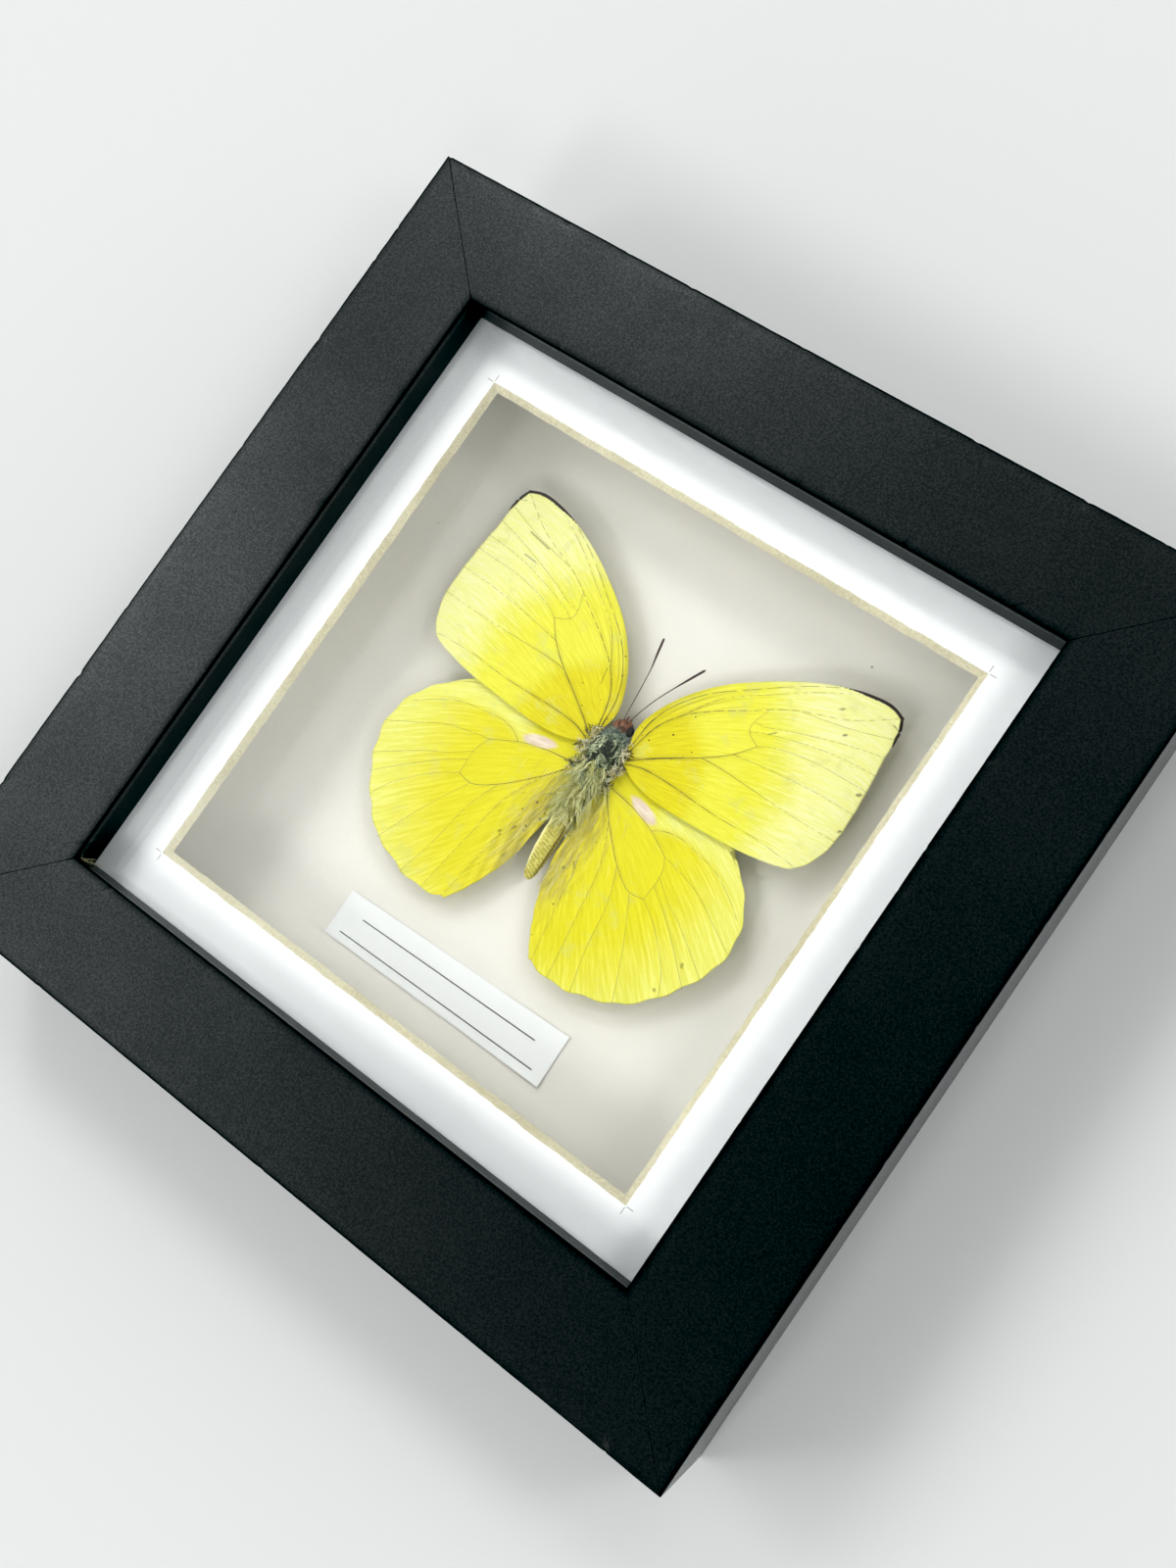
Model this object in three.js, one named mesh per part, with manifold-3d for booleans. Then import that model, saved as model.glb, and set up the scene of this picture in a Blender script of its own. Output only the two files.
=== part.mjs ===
// Framed butterfly: a yellow emigrant butterfly, wings spread, floating in a small black box
// frame behind glass, with a bevelled white mat, a white mounting board and a paper label.
//
// Millimetres, +Z up. The frame lies on its back: +Z points out of the glass, +Y towards the
// butterfly's head and the frame's top rail, +X to the right. The origin is at the middle of
// the rear face. Nothing moves. Pieces that touch keep a clearance of CLEARANCE.

import * as THREE from 'three';
import { mergeVertices } from 'three/addons/utils/BufferGeometryUtils.js';
import Module from 'manifold-3d';

const wasm = await Module();
wasm.setup();

// ---------------------------------------------------------------- driving dimensions

const CLEARANCE = 0.3;
const INSERT_CLEARANCE = 0.5;

const FRAME_SIDE = 140;
const FRAME_DEPTH = 31;
const RAIL_FACE = 18.3;
const LIP_DEPTH = 5.6;
const LIP_OVERHANG = 5;

const GLASS_THICKNESS = 2;
const MAT_THICKNESS = 1;
const MAT_WINDOW = 88.8;
const BOARD_THICKNESS = 2;
const BOARD_TOP = FRAME_DEPTH - 23.3;
const PANEL_THICKNESS = 2.4;
const SPACER_THICKNESS = 4;

// The label is cut by hand, so its edges are not quite square to each other.
const LABEL_THICKNESS = 0.3;
const LABEL_CORNERS = [[-21.2, -40.9], [21.2, -40.5], [21, -31.7], [-21.2, -33.1]];

const TAB_THICKNESS = 0.4;
const TAB_WIDTH = 5;
const TAB_IN_RAIL = 5;
const TAB_SHOULDER = 1;
const TAB_OVER_PANEL = 7;
const TAB_SPACING = 56;

const HANGER_LENGTH = 36;
const HANGER_FOOT = 7;
const HANGER_SLOPE = 3;
const HANGER_HEIGHT = 7;
const HANGER_THICKNESS = 0.6;
const HANGER_BOW = 1.2;
const HANGER_TOOTH = 1.5;
const HANGER_TEETH = 11;
const HANGER_PLACE_Y = 42;
const RIVET_SPACING = 30;
const RIVET_SHANK_RADIUS = 0.8;
const RIVET_HEAD_RADIUS = 1.8;
const RIVET_CROWN_RADIUS = 1.1;
const RIVET_RIM_THICKNESS = 0.55;
const RIVET_HEAD_THICKNESS = 0.7;
const RIVET_SHANK_DEPTH = 2;

const BUTTERFLY_X = 1.4;
const WING_THICKNESS = 0.3;
const FOREWING_HEIGHT = 11.8;
const HINDWING_HEIGHT = 11;
const FOREWING_RISE = THREE.MathUtils.degToRad(1.5);
const HINDWING_RISE = THREE.MathUtils.degToRad(1);

const BODY_HEIGHT = 11;
const BODY_FLATTEN = 0.85;
const ABDOMEN_SWAY = 0.8;
const ABDOMEN_LENGTH = 16;

const ANTENNA_RADIUS = 0.2;

const PAD_WIDTH = 4;
const PAD_REAR_Y = 2.5;
const PAD_FRONT_Y = 8;

// Places worked out from the dimensions above.
const HALF = FRAME_SIDE / 2;
const SIGHT_HALF = HALF - RAIL_FACE;
const RABBET_HALF = SIGHT_HALF + LIP_OVERHANG;
const LIP_UNDERSIDE = FRAME_DEPTH - LIP_DEPTH;
const INSERT_SIDE = 2 * (RABBET_HALF - INSERT_CLEARANCE);
const GLASS_TOP = LIP_UNDERSIDE - CLEARANCE;
const MAT_TOP = GLASS_TOP - GLASS_THICKNESS - CLEARANCE;
const MAT_BOTTOM = MAT_TOP - MAT_THICKNESS;
const PANEL_TOP = BOARD_TOP - BOARD_THICKNESS - CLEARANCE;
const PANEL_BACK = PANEL_TOP - PANEL_THICKNESS;
const TAB_TOP = PANEL_BACK - CLEARANCE;

// ---------------------------------------------------------------- butterfly outlines
// Points of the right-hand wings, measured from the body's centre line, +Y towards the head.
// A wing is bounded by four edges: costa (leading), termen (outer), dorsum (trailing), root.

const FOREWING = {
  costa: [[2.6, 9.2], [2.0, 12.3], [2.8, 15.6], [5.2, 20.1], [9.2, 24.7], [14.5, 28.7], [20.7, 32.3],
    [26.8, 34.7], [32.0, 35.6], [35.1, 34.7]],
  termen: [[35.1, 34.7], [36.0, 32.0], [36.0, 28.4], [36.5, 23.8], [36.9, 18.4], [36.8, 13.4], [35.6, 9.6],
    [33.8, 7.3], [31.4, 6.3]],
  dorsum: [[3.4, 6.6], [6.4, 5.2], [10.4, 4.5], [15.2, 4.5], [20.2, 4.8], [26.0, 5.3], [31.4, 6.3]],
};

const HINDWING = {
  costa: [[3.2, 4.6], [7.4, 7.0], [13.5, 8.4], [19.5, 7.7], [24.4, 5.4], [27.8, 2.6]],
  termen: [[27.8, 2.6], [30.8, -0.4], [32.7, -4.2], [33.2, -8.2], [32.3, -12.3], [29.9, -16.8], [27.2, -20.4],
    [23.6, -23.5], [19.6, -25.2], [15.4, -26.4], [11.0, -26.4], [8.3, -25.6]],
  dorsum: [[3.2, 1.6], [2.9, -2.6], [2.9, -7.6], [3.1, -12.4], [4.0, -17.4], [6.3, -22.4], [8.3, -25.6]],
};

// Radius and place along the body's length, from the abdomen's tip to the front of the head.
const BODY_PROFILE = [[0, -16], [0.55, -15.7], [0.95, -14.6], [1.2, -12.4], [1.35, -9], [1.4, -5],
  [1.35, -1.5], [1.5, 0.4], [2.2, 2], [2.6, 4.4], [2.65, 6.8], [2.2, 8.8], [1.5, 9.9], [1.45, 10.3],
  [1.8, 11], [1.75, 11.9], [1.2, 12.5], [0, 12.7]];

const ANTENNA_LEFT = [[-0.5, 13.1, 12.2], [-0.7, 15, 12.5], [-0.9, 17.6, 12.8], [-1.2, 20.8, 13.1],
  [-1.7, 23.4, 13.3], [-2.2, 26, 13.4]];
const ANTENNA_RIGHT = [[0.5, 13.1, 12.2], [1.2, 15, 12.5], [2.3, 17.8, 12.8], [3.7, 20.6, 13.1],
  [5, 23.1, 13.3], [6.1, 25.2, 13.4]];

// ---------------------------------------------------------------- materials

function finish(color, roughness, metalness = 0) {
  return new THREE.MeshStandardMaterial({ color, roughness, metalness });
}

const blackFoil = () => finish(0x1b1d1d, 0.55);
const clearGlass = () => new THREE.MeshStandardMaterial({
  color: 0xf2f7f5, roughness: 0.03, metalness: 0, transparent: true, opacity: 0.2,
});
const whiteBoard = () => finish(0xf4f3ee, 0.85);
const whiteFoam = () => finish(0xefeee8, 0.8);
const labelPaper = () => finish(0xe9eaec, 0.8);
const brownHardboard = () => finish(0x6b4a32, 0.75);
const zincSteel = () => finish(0xb9bcbd, 0.35, 1);
const yellowWing = () => finish(0xf4ec3c, 0.6);
const paleYellowWing = () => finish(0xf1ec52, 0.6);
const greenGreyHair = () => finish(0x8c8f6a, 0.9);
const brownHorn = () => finish(0x4a3433, 0.45);

// ---------------------------------------------------------------- helpers

/** A geometry with shared corners and positions only, as closed solids need. */
function welded(geometry) {
  const bare = geometry.clone();
  bare.deleteAttribute('normal');
  bare.deleteAttribute('uv');
  return mergeVertices(bare, 1e-5);
}

function toSolid(geometry) {
  const bare = welded(geometry);
  return new wasm.Manifold(new wasm.Mesh({
    numProp: 3,
    vertProperties: new Float32Array(bare.attributes.position.array),
    triVerts: new Uint32Array(bare.index.array),
  }));
}

function toGeometry(solid) {
  const mesh = solid.getMesh();
  const geometry = new THREE.BufferGeometry();
  geometry.setAttribute('position', new THREE.BufferAttribute(mesh.vertProperties, 3));
  geometry.setIndex(new THREE.BufferAttribute(mesh.triVerts, 1));
  geometry.computeVertexNormals();
  return geometry;
}

/** base with every geometry of cuts taken away. */
function cut(base, cuts) {
  return toGeometry(cuts.reduce((solid, piece) => solid.subtract(toSolid(piece)), toSolid(base)));
}

function named(name, geometry, material) {
  const mesh = new THREE.Mesh(geometry, material);
  mesh.name = name;
  return mesh;
}

/** A box given by its lowest and highest corners. */
function boxBetween(low, high) {
  const box = new THREE.BoxGeometry(high[0] - low[0], high[1] - low[1], high[2] - low[2]);
  box.translate((low[0] + high[0]) / 2, (low[1] + high[1]) / 2, (low[2] + high[2]) / 2);
  return box;
}

/** A flat outline of [x, y] points raised from bottom to top. */
function plateFrom(points, bottom, top) {
  const shape = new THREE.Shape(points.map(([x, y]) => new THREE.Vector2(x, y)));
  const plate = new THREE.ExtrudeGeometry(shape, { depth: top - bottom, bevelEnabled: false });
  plate.translate(0, 0, bottom);
  return plate;
}

/** Points along a smooth curve through the given points, without the last one. */
function alongCurve(points, perSpan) {
  const curve = new THREE.SplineCurve(points.map(([x, y]) => new THREE.Vector2(x, y)));
  const steps = (points.length - 1) * perSpan;
  return Array.from({ length: steps }, (_, i) => curve.getPoint(i / steps).toArray());
}

// ---------------------------------------------------------------- frame

/** Places on the rail's inner wall, along X, where a retaining tab is pushed in. */
const TAB_OFFSETS = [-TAB_SPACING / 2, TAB_SPACING / 2];

/** The bottom rail: an L section, its lip over the glass, ends cut at 45 degrees. */
function railGeometry() {
  const mitre = CLEARANCE / 2 * Math.SQRT2;
  const outline = [
    [-HALF + mitre, -HALF], [HALF - mitre, -HALF],
    [SIGHT_HALF - mitre, -SIGHT_HALF], [-SIGHT_HALF + mitre, -SIGHT_HALF],
  ];
  const block = plateFrom(outline, 0, FRAME_DEPTH);
  const rabbet = boxBetween([-HALF, -RABBET_HALF, -1], [HALF, -SIGHT_HALF + 1, LIP_UNDERSIDE]);
  const slotHalf = TAB_WIDTH / 2 + CLEARANCE;
  const slotEnd = -RABBET_HALF - TAB_IN_RAIL - CLEARANCE;
  const slots = TAB_OFFSETS.map((x) => boxBetween(
    [x - slotHalf, slotEnd, TAB_TOP - TAB_THICKNESS - CLEARANCE],
    [x + slotHalf, -RABBET_HALF + 1, TAB_TOP + CLEARANCE],
  ));
  return cut(block, [rabbet, ...slots]);
}

/** A steel leaf for the bottom rail: a point in the rail, a round end over the back panel. */
function tabGeometry(x) {
  const point = -RABBET_HALF - TAB_IN_RAIL;
  const shoulder = -RABBET_HALF - TAB_SHOULDER;
  const roundStart = -RABBET_HALF + TAB_OVER_PANEL - TAB_WIDTH / 2;
  const half = TAB_WIDTH / 2;
  const roundSteps = 8;
  const outline = [[x, point], [x + half, shoulder]];
  for (let i = 0; i <= roundSteps; i += 1) {
    const angle = Math.PI * i / roundSteps;
    outline.push([x + half * Math.cos(angle), roundStart + half * Math.sin(angle)]);
  }
  outline.push([x - half, shoulder]);
  return plateFrom(outline, TAB_TOP - TAB_THICKNESS, TAB_TOP);
}

/** One side of the frame, turned into place: its rail and its two retaining tabs. */
function frameSide(name, turn) {
  const side = new THREE.Group();
  side.rotation.z = turn;
  side.add(named(`rail_${name}`, railGeometry(), blackFoil()));
  TAB_OFFSETS.forEach((x, i) => {
    side.add(named(`retaining_tab_${name}_${i + 1}`, tabGeometry(x), zincSteel()));
  });
  return side;
}

// ---------------------------------------------------------------- what the frame holds

/** A square sheet that fills the rabbet, from bottom to top. */
function insertSheet(bottom, top) {
  const half = INSERT_SIDE / 2;
  return boxBetween([-half, -half, bottom], [half, half, top]);
}

/** The mat: a sheet whose square window is cut at 45 degrees, wider at the top. */
function matGeometry() {
  const overshoot = 1;
  const sideToRadius = Math.SQRT1_2;
  const top = MAT_WINDOW + 2 * overshoot;
  const bottom = MAT_WINDOW - 2 * MAT_THICKNESS - 2 * overshoot;
  const height = MAT_THICKNESS + 2 * overshoot;
  const window = new THREE.CylinderGeometry(top * sideToRadius, bottom * sideToRadius, height, 4);
  window.rotateY(Math.PI / 4);
  window.rotateX(Math.PI / 2);
  window.translate(0, 0, (MAT_TOP + MAT_BOTTOM) / 2);
  return cut(insertSheet(MAT_BOTTOM, MAT_TOP), [window]);
}

/** Four strips stand the mat off the mounting board: two full length, two between them. */
function addSpacers(group) {
  const bottom = BOARD_TOP + CLEARANCE;
  const top = MAT_BOTTOM - CLEARANCE;
  const outer = INSERT_SIDE / 2;
  const inner = outer - SPACER_THICKNESS;
  const short = inner - CLEARANCE;
  const strips = {
    top: boxBetween([-outer, inner, bottom], [outer, outer, top]),
    bottom: boxBetween([-outer, -outer, bottom], [outer, -inner, top]),
    left: boxBetween([-outer, -short, bottom], [-inner, short, top]),
    right: boxBetween([inner, -short, bottom], [outer, short, top]),
  };
  Object.entries(strips).forEach(([side, strip]) => {
    group.add(named(`spacer_${side}`, strip, whiteFoam()));
  });
}

function labelGeometry() {
  const bottom = BOARD_TOP + CLEARANCE;
  return plateFrom(LABEL_CORNERS, bottom, bottom + LABEL_THICKNESS);
}

// ---------------------------------------------------------------- hanger on the back panel

const RIVET_PLACES = { left: -RIVET_SPACING / 2, right: RIVET_SPACING / 2 };

/** A round bar along Z through x, y, between two heights. */
function barAlongZ(radius, x, y, bottom, top) {
  const bar = new THREE.CylinderGeometry(radius, radius, top - bottom, 20);
  bar.rotateX(Math.PI / 2);
  bar.translate(x, y, (bottom + top) / 2);
  return bar;
}

function rivetHoles(bottom, top) {
  return Object.values(RIVET_PLACES).map((x) => (
    barAlongZ(RIVET_SHANK_RADIUS + CLEARANCE, x, HANGER_PLACE_Y, bottom, top)
  ));
}

/** The hanger: a steel strip bowed away from the panel, with teeth on the bow's lower edge. */
function hangerGeometry() {
  const half = HANGER_LENGTH / 2;
  const foot = half - HANGER_FOOT;
  const bowEnd = foot - HANGER_SLOPE;
  const near = PANEL_BACK - CLEARANCE;
  const far = near - HANGER_BOW;
  const thick = HANGER_THICKNESS;
  const section = [
    [-half, near], [-foot, near], [-bowEnd, far], [bowEnd, far], [foot, near], [half, near],
    [half, near - thick], [foot, near - thick], [bowEnd, far - thick], [-bowEnd, far - thick],
    [-foot, near - thick], [-half, near - thick],
  ];
  const strip = plateFrom(section, -HANGER_HEIGHT / 2, HANGER_HEIGHT / 2);
  strip.rotateX(Math.PI / 2);
  strip.translate(0, HANGER_PLACE_Y, 0);
  const lower = HANGER_PLACE_Y - HANGER_HEIGHT / 2;
  const pitch = 2 * bowEnd / HANGER_TEETH;
  const notches = [[-bowEnd, lower - 1]];
  for (let i = 0; i < HANGER_TEETH; i += 1) {
    notches.push([-bowEnd + i * pitch, lower]);
    notches.push([-bowEnd + (i + 0.5) * pitch, lower + HANGER_TOOTH]);
  }
  notches.push([bowEnd, lower], [bowEnd, lower - 1]);
  return cut(strip, [plateFrom(notches, 0, PANEL_BACK), ...rivetHoles(0, PANEL_BACK)]);
}

/** A rivet turned about its own axis: domed head below, shank up into the panel. */
function rivetGeometry(x) {
  const headTop = PANEL_BACK - HANGER_THICKNESS - 2 * CLEARANCE;
  const headBottom = headTop - RIVET_HEAD_THICKNESS;
  const shankTop = PANEL_BACK + RIVET_SHANK_DEPTH;
  const profile = [
    [0, headBottom], [RIVET_CROWN_RADIUS, headTop - RIVET_RIM_THICKNESS], [RIVET_HEAD_RADIUS, headTop],
    [RIVET_SHANK_RADIUS, headTop], [RIVET_SHANK_RADIUS, shankTop], [0, shankTop],
  ].map(([r, z]) => new THREE.Vector2(r, z));
  const rivet = new THREE.LatheGeometry(profile, 20);
  rivet.rotateX(Math.PI / 2);
  rivet.translate(x, HANGER_PLACE_Y, 0);
  return toGeometry(toSolid(rivet));
}

/** The hardboard panel that closes the back, with its hanger and the hanger's two rivets. */
function backPanel() {
  const back = new THREE.Group();
  const panel = cut(insertSheet(PANEL_BACK, PANEL_TOP), rivetHoles(PANEL_BACK - 1, PANEL_TOP + 1));
  back.add(named('back_panel', panel, brownHardboard()));
  back.add(named('sawtooth_hanger', hangerGeometry(), zincSteel()));
  Object.entries(RIVET_PLACES).forEach(([side, x]) => {
    back.add(named(`hanger_rivet_${side}`, rivetGeometry(x), zincSteel()));
  });
  return back;
}

// ---------------------------------------------------------------- butterfly

/** A wing as a thin plate; side is +1 for the right wing and -1 for the left. */
function wingGeometry({ costa, termen, dorsum }, side) {
  const perSpan = 3;
  const outline = [
    ...alongCurve(costa, perSpan),
    ...alongCurve(termen, perSpan),
    ...alongCurve([...dorsum].reverse(), perSpan),
    dorsum[0],
  ].map(([x, y]) => [side * x, y]);
  return plateFrom(outline, 0, WING_THICKNESS);
}

/** A wing hinged at the body's centre line and raised a little towards its tip. */
function wing(name, outline, side, height, rise, material) {
  const mesh = named(name, wingGeometry(outline, side), material);
  mesh.position.z = height;
  mesh.rotation.y = -side * rise;
  return mesh;
}

/** Head, thorax and abdomen as one turned body, flattened, its abdomen swayed to the right. */
function bodyGeometry() {
  const body = new THREE.LatheGeometry(BODY_PROFILE.map(([r, y]) => new THREE.Vector2(r, y)), 20);
  const place = body.attributes.position;
  for (let i = 0; i < place.count; i += 1) {
    const behind = Math.max(0, -place.getY(i)) / ABDOMEN_LENGTH;
    place.setX(i, place.getX(i) + ABDOMEN_SWAY * behind ** 2);
    place.setZ(i, place.getZ(i) * BODY_FLATTEN);
  }
  body.translate(0, 0, BODY_HEIGHT);
  return toGeometry(toSolid(body));
}

/** A feeler: a thin round rod along a smooth curve. */
function antennaGeometry(points) {
  const path = new THREE.CatmullRomCurve3(points.map((p) => new THREE.Vector3(...p)));
  const section = new THREE.Shape().absarc(0, 0, ANTENNA_RADIUS, 0, 2 * Math.PI);
  const along = { steps: 20, curveSegments: 4, extrudePath: path, bevelEnabled: false };
  return new THREE.ExtrudeGeometry(section, along);
}

/** The pad between the mounting board and the thorax, which is the thickest of the body. */
function gluePad() {
  const thoraxRadius = Math.max(...BODY_PROFILE.map(([r]) => r));
  const top = BODY_HEIGHT - BODY_FLATTEN * thoraxRadius - CLEARANCE;
  return boxBetween([-PAD_WIDTH / 2, PAD_REAR_Y, BOARD_TOP + CLEARANCE], [PAD_WIDTH / 2, PAD_FRONT_Y, top]);
}

function butterfly() {
  const insect = new THREE.Group();
  insect.position.x = BUTTERFLY_X;
  insect.add(named('glue_pad', gluePad(), whiteFoam()));
  insect.add(named('butterfly_body', bodyGeometry(), greenGreyHair()));
  insect.add(wing('forewing_left', FOREWING, -1, FOREWING_HEIGHT, FOREWING_RISE, yellowWing()));
  insect.add(wing('forewing_right', FOREWING, 1, FOREWING_HEIGHT, FOREWING_RISE, yellowWing()));
  insect.add(wing('hindwing_left', HINDWING, -1, HINDWING_HEIGHT, HINDWING_RISE, paleYellowWing()));
  insect.add(wing('hindwing_right', HINDWING, 1, HINDWING_HEIGHT, HINDWING_RISE, paleYellowWing()));
  insect.add(named('antenna_left', antennaGeometry(ANTENNA_LEFT), brownHorn()));
  insect.add(named('antenna_right', antennaGeometry(ANTENNA_RIGHT), brownHorn()));
  return insect;
}

// ---------------------------------------------------------------- the whole object

const SIDES = { bottom: 0, right: Math.PI / 2, top: Math.PI, left: -Math.PI / 2 };

const specimen = new THREE.Group();
Object.entries(SIDES).forEach(([name, turn]) => specimen.add(frameSide(name, turn)));
specimen.add(named('glass_pane', insertSheet(GLASS_TOP - GLASS_THICKNESS, GLASS_TOP), clearGlass()));
specimen.add(named('window_mat', matGeometry(), whiteBoard()));
addSpacers(specimen);
specimen.add(named('mounting_board', insertSheet(BOARD_TOP - BOARD_THICKNESS, BOARD_TOP), whiteBoard()));
specimen.add(named('label_strip', labelGeometry(), labelPaper()));
specimen.add(backPanel());
specimen.add(butterfly());

export default specimen;
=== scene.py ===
"""The looks of a framed yellow butterfly: black box frame, glass, white mat, board, label, specimen.

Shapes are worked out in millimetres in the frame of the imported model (+Z out of the glass, +Y to
the butterfly's head, +X to the right) and turned into metres when a mesh is made.
"""

import math

import bpy
import numpy as np
from mathutils import Matrix, Vector


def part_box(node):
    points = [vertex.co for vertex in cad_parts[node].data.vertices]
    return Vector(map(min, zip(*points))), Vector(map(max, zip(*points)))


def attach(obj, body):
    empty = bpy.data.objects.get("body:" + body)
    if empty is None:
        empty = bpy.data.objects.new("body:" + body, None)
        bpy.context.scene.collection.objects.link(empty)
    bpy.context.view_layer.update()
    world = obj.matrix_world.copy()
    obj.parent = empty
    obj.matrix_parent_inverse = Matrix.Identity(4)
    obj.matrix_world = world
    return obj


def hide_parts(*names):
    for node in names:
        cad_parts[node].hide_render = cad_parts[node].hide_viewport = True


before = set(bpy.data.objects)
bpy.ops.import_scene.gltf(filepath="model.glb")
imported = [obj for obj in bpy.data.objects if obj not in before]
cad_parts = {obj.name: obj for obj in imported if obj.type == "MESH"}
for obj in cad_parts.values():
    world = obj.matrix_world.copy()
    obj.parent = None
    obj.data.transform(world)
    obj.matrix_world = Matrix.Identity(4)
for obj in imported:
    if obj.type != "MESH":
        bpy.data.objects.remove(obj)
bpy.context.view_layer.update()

MM = 0.001
BODY = "root"


def low_mm(node):
    """Lowest corner of a node, in millimetres."""
    return np.array(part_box(node)[0]) / MM


def high_mm(node):
    """Highest corner of a node, in millimetres."""
    return np.array(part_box(node)[1]) / MM


# ------------------------------------------------------------------ sizes read from the frame

HALF = high_mm("rail_top")[1]
FACE_Z = high_mm("rail_top")[2]
SIGHT_HALF = low_mm("rail_top")[1]
GLASS_TOP = high_mm("glass_pane")[2]
INSERT_HALF = high_mm("glass_pane")[0]
MAT_TOP = high_mm("window_mat")[2]
MAT_BOTTOM = low_mm("window_mat")[2]
LABEL_BOTTOM = low_mm("label_strip")[2]
LIP_CLEARANCE = 0.3
LIP_UNDERSIDE = GLASS_TOP + LIP_CLEARANCE
RABBET_CLEARANCE = 0.5
RABBET_HALF = INSERT_HALF + RABBET_CLEARANCE
BUTTERFLY_X = (low_mm("glue_pad")[0] + high_mm("glue_pad")[0]) / 2

# ------------------------------------------------------------------ sizes of the finer shapes

RAIL_STATIONS = 260
RAIL_SPACING = 1.6
FACE_OUTER_RADIUS = 0.35
FACE_SIGHT_RADIUS = 0.28
REAR_OUTER_RADIUS = 0.15
REAR_RABBET_RADIUS = 0.12
HIDDEN_RADIUS = 0.1
EDGE_WEAR_REACH = 0.5
MITRE_GAP = 0.01
MITRE_GROOVE = 0.12
MITRE_GROOVE_WIDTH = 0.06
MITRE_WEAR_WIDTH = 0.03
TORN_FIBRES = 26

MAT_WINDOW_HALF = 44.4
MAT_BEVEL = 1.0
MAT_STATIONS = 260
MAT_FACE_LINES = (52, 50, 48, 46, 45)
MAT_REAR_LINE = 48
SCORE_HALF_WIDTH = 0.07
SCORE_START = 0.2
SCORE_END = 1.3

LABEL_CORNERS = np.array([[-21.2, -40.9], [21.2, -40.5], [21.0, -31.7], [-21.2, -33.1]])
LABEL_THICKNESS = 0.12
LABEL_SINK = 0.2

FOREWING_HEIGHT = 11.8
HINDWING_HEIGHT = 11.0
FOREWING_RISE = math.radians(1.5)
HINDWING_RISE = math.radians(1.0)
WING_MIDDLE = 0.15
WING_THICKNESS = 0.12
WING_ROWS = 200
WING_COLUMNS = 150
VEIN_GIRTH = 0.80
VEIN_LEAST_RADIUS = 0.050
VEIN_SIDES = 6
VEIN_FLATTEN = 0.7
VEIN_SINK = 0.03
RIDGE_HEIGHT = 0.10
RIDGE_WIDTH = 0.28
TROUGH_DEPTH = 0.16
TROUGH_WIDTH = 1.5
SLOW_WAVE = 0.16
SLOW_WAVE_RATE = 0.11
RAGGEDNESS = 0.035
SCALLOPS = 9
SCALLOP_DEPTH = {"wing_yellow": 0.06, "wing_pale_yellow": 0.30}

BODY_HEIGHT = 11.0
BODY_FLATTEN = 0.85
ABDOMEN_SWAY = 0.8
ABDOMEN_LENGTH = 16.0
ABDOMEN_RING_LENGTH = 2.2
BODY_REAR = -15.98
BODY_FRONT = 12.68
NECK_Y = 10.3
EYE_RADII = (0.66, 0.92, 0.80)
CREST_RADII = (0.85, 0.85, 0.5)
PALP_RADIUS = 0.27
ANTENNA_RADIUS = 0.075
CLUB_SWELLING = 0.115

# Wing edges of the right-hand side, measured from the body's centre line.
FOREWING = {
    "costa": [[2.6, 9.2], [2.0, 12.3], [2.8, 15.6], [5.2, 20.1], [9.2, 24.7], [14.5, 28.7], [20.7, 32.3],
              [26.8, 34.7], [32.0, 35.6], [35.1, 34.7]],
    "termen": [[35.1, 34.7], [36.0, 32.0], [36.0, 28.4], [36.5, 23.8], [36.9, 18.4], [36.8, 13.4],
               [35.6, 9.6], [33.8, 7.3], [31.4, 6.3]],
    "dorsum": [[3.4, 6.6], [6.4, 5.2], [10.4, 4.5], [15.2, 4.5], [20.2, 4.8], [26.0, 5.3], [31.4, 6.3]],
}
HINDWING = {
    "costa": [[2.0, 5.4], [6.8, 7.0], [13.5, 8.4], [19.5, 7.7], [24.4, 5.4], [27.8, 2.6]],
    "termen": [[27.8, 2.6], [30.8, -0.4], [32.7, -4.2], [33.2, -8.2], [32.3, -12.3], [29.9, -16.8],
               [27.2, -20.4], [23.6, -23.5], [19.6, -25.2], [15.4, -26.4], [11.0, -26.4], [8.3, -25.6]],
    "dorsum": [[2.0, 1.6], [2.0, -2.6], [2.1, -7.6], [2.7, -12.4], [4.0, -17.4], [6.3, -22.4], [8.3, -25.6]],
}

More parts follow.
